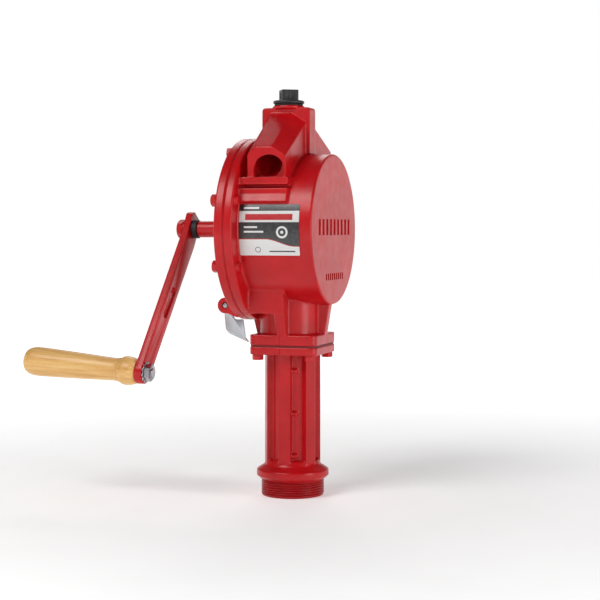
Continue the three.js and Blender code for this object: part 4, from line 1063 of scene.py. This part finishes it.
def name_plate():
    """A thin sticker round the drum's front. Its u, v, in mm, run from its lower left corner."""
    x0, x1 = span("name_plate", 0)
    inner, thick, corner, rows = DRUM_RADIUS + 0.32, 0.25, 1.2, 48
    bottom, top = math.radians(-19.6), math.radians(18.4)
    height = inner * (top - bottom)
    us = plate_columns(x1 - x0, corner)
    points, locals_, faces = [], [], []
    for layer in (0, 1):
        for u in us:
            away = max(0.0, corner - min(u, x1 - x0 - u))
            inset = corner - math.sqrt(max(0.0, corner ** 2 - away ** 2))
            for v in np.linspace(inset, height - inset, rows):
                angle = bottom + v / inner
                radius = inner + layer * thick
                points.append((x0 + u, -radius * math.cos(angle), radius * math.sin(angle)))
                locals_.append((u, v, 0))

    def index(layer, i, j):
        return (layer * len(us) + i) * rows + j

    for i in range(len(us) - 1):
        for j in range(rows - 1):
            square = ((i, j), (i + 1, j), (i + 1, j + 1), (i, j + 1))
            for layer in (0, 1):
                faces.append([index(layer, *at) for at in square])
    rim = ([(i, 0) for i in range(len(us))] + [(len(us) - 1, j) for j in range(1, rows)]
           + [(i, rows - 1) for i in range(len(us) - 2, -1, -1)] + [(0, j) for j in range(rows - 2, 0, -1)])
    for a, b in zip(rim, rim[1:] + rim[:1]):
        faces.append([index(0, *a), index(0, *b), index(1, *b), index(1, *a)])
    obj = new_object("plate_sticker", [(np.array(points), faces)], SHAFT_FRAME)
    finish_piece(obj, PLATE_PRINT, "pump", "name_plate", slot="label")
    obj.data.attributes["local"].data.foreach_set("vector", np.array(locals_, dtype=np.float32).ravel())


# ------------------------------------------------------------ CAD nodes that stay


def dress_cad_nodes():
    """Hidden pieces and the flange gasket keep their CAD shape and get a detailed material."""
    finishes = {
        IRON: ["cylinder_liner", "rotor"],
        BRONZE: ["front_bush", "rear_bush", "valve_seat", "check_poppet"],
        CARBON: ["vane_1", "vane_2", "vane_3", "vane_4"],
        BLACK: ["breaker_disc", "breaker_retainer"],
        STEEL: ["breaker_spring"],
        GASKET: ["flange_gasket"],
        FIBRE: ["shaft_packing"],
    }
    for material, names in finishes.items():
        for name in names:
            mesh = frame["nodes"][name].data
            mesh.materials.clear()
            mesh.materials.append(material)


# ------------------------------------------------------------ camera, light and floor

VIEW_AZIMUTH = math.radians(18.5)
VIEW_DISTANCE = 1.425
VIEW_LENS = 88.8
VIEW_SHIFT_Y = -0.118
VIEW_RIGHT = 7.0
FLOOR_REACH = 6.0                # metres
FLOOR_NEAR_FAR = (200.0, 1500.0)
FLOOR_GLOW = (0.4, 1.1)
SKY_STOPS = ((0.0, 1.0), (0.165, 1.0), (0.24, 0.12), (1.0, 0.07))
SKY_FALL = (-0.1, 0.8, 0.4, 1.0)
LIGHT_AIM = (0, 0, 0.2)
SOFTBOXES = (                    # name, place, size and power
    ("key", (-0.64, -1.32, 1.56), (1.0, 0.8), 20),
    ("right", (1.9, -0.5, 0.5), (0.7, 1.0), 13),
    ("back", (-0.5, 1.5, 1.4), (1.0, 1.0), 8),
)


def camera():
    data = bpy.data.cameras.new("camera")
    data.lens = VIEW_LENS
    data.shift_y = VIEW_SHIFT_Y
    data.clip_end = 50
    obj = bpy.data.objects.new("camera", data)
    bpy.context.scene.collection.objects.link(obj)
    right = Vector((math.cos(VIEW_AZIMUTH), math.sin(VIEW_AZIMUTH), 0))
    away = Vector((math.sin(VIEW_AZIMUTH), -math.cos(VIEW_AZIMUTH), 0))
    obj.location = away * VIEW_DISTANCE + right * VIEW_RIGHT * MM + Vector((0, 0, SHAFT_Z * MM))
    obj.rotation_euler = (math.pi / 2, 0, VIEW_AZIMUTH)
    bpy.context.scene.camera = obj


def softbox(name, place, size, power):
    data = bpy.data.lights.new(name, "AREA")
    data.shape = "RECTANGLE"
    data.size, data.size_y = size
    data.energy = power
    obj = bpy.data.objects.new(name, data)
    bpy.context.scene.collection.objects.link(obj)
    obj.location = place
    obj.rotation_euler = (Vector(LIGHT_AIM) - Vector(place)).to_track_quat("-Z", "Y").to_euler()


def floor():
    """A pale floor just below the object. It glows more towards its far edges."""
    mesh = bpy.data.meshes.new("floor")
    low = cad_box[0][2] - 0.0004
    corners = ((-1, -1), (1, -1), (1, 1), (-1, 1))
    mesh.from_pydata([(x * FLOOR_REACH, y * FLOOR_REACH, low) for x, y in corners], [], [(0, 1, 2, 3)])
    obj = bpy.data.objects.new("floor", mesh)
    bpy.context.scene.collection.objects.link(obj)
    n = Nodes("floor")
    tone = n.ramp(n.noise(n.own(), 0.02, 2.0), (0.3, (0.86, 0.86, 0.86)), (0.7, (0.88, 0.88, 0.88)))
    far = n.tree.nodes.new("ShaderNodeVectorMath")
    far.operation = "LENGTH"
    n.put(far.inputs[0], n.own())
    glow = n.range(far.outputs["Value"], *FLOOR_NEAR_FAR, *FLOOR_GLOW)
    mesh.materials.append(n.set(Base_Color=tone, Roughness=0.9, Specular_IOR_Level=0.0, Emission_Color=tone,
                                Emission_Strength=glow))


def surroundings():
    """White low down and dark above, and dimmer on the viewer's side than behind the object."""
    world = bpy.data.worlds.new("studio")
    world.use_nodes = True
    tree = world.node_tree
    sky = tree.nodes["Background"]
    direction = tree.nodes.new("ShaderNodeTexCoord").outputs["Generated"]
    parts = tree.nodes.new("ShaderNodeSeparateXYZ")
    tree.links.new(direction, parts.inputs[0])
    ramp = tree.nodes.new("ShaderNodeValToRGB")
    tree.links.new(parts.outputs[2], ramp.inputs["Fac"])
    while len(ramp.color_ramp.elements) < len(SKY_STOPS):
        ramp.color_ramp.elements.new(0.5)
    for element, (place, tone) in zip(ramp.color_ramp.elements, SKY_STOPS):
        element.position = place
        element.color = (tone, tone, tone, 1)
    tree.links.new(ramp.outputs["Color"], sky.inputs["Color"])
    behind = tree.nodes.new("ShaderNodeVectorMath")
    behind.operation = "DOT_PRODUCT"
    behind.inputs[1].default_value = (-math.sin(VIEW_AZIMUTH), math.cos(VIEW_AZIMUTH), 0)
    tree.links.new(direction, behind.inputs[0])
    fall = tree.nodes.new("ShaderNodeMapRange")
    for socket, value in zip(list(fall.inputs)[1:5], SKY_FALL):
        socket.default_value = value
    tree.links.new(behind.outputs["Value"], fall.inputs["Value"])
    tree.links.new(fall.outputs["Result"], sky.inputs["Strength"])
    bpy.context.scene.world = world


def studio():
    floor()
    surroundings()
    for light in SOFTBOXES:
        softbox(*light)
    bpy.context.scene.view_settings.view_transform = "Standard"


camera()
studio()
casing()
cover()
cover_seam()
column()
casing_bolts()
crank()
grip()
grip_hardware()
vent_cap()
hanger()
name_plate()
dress_cad_nodes()
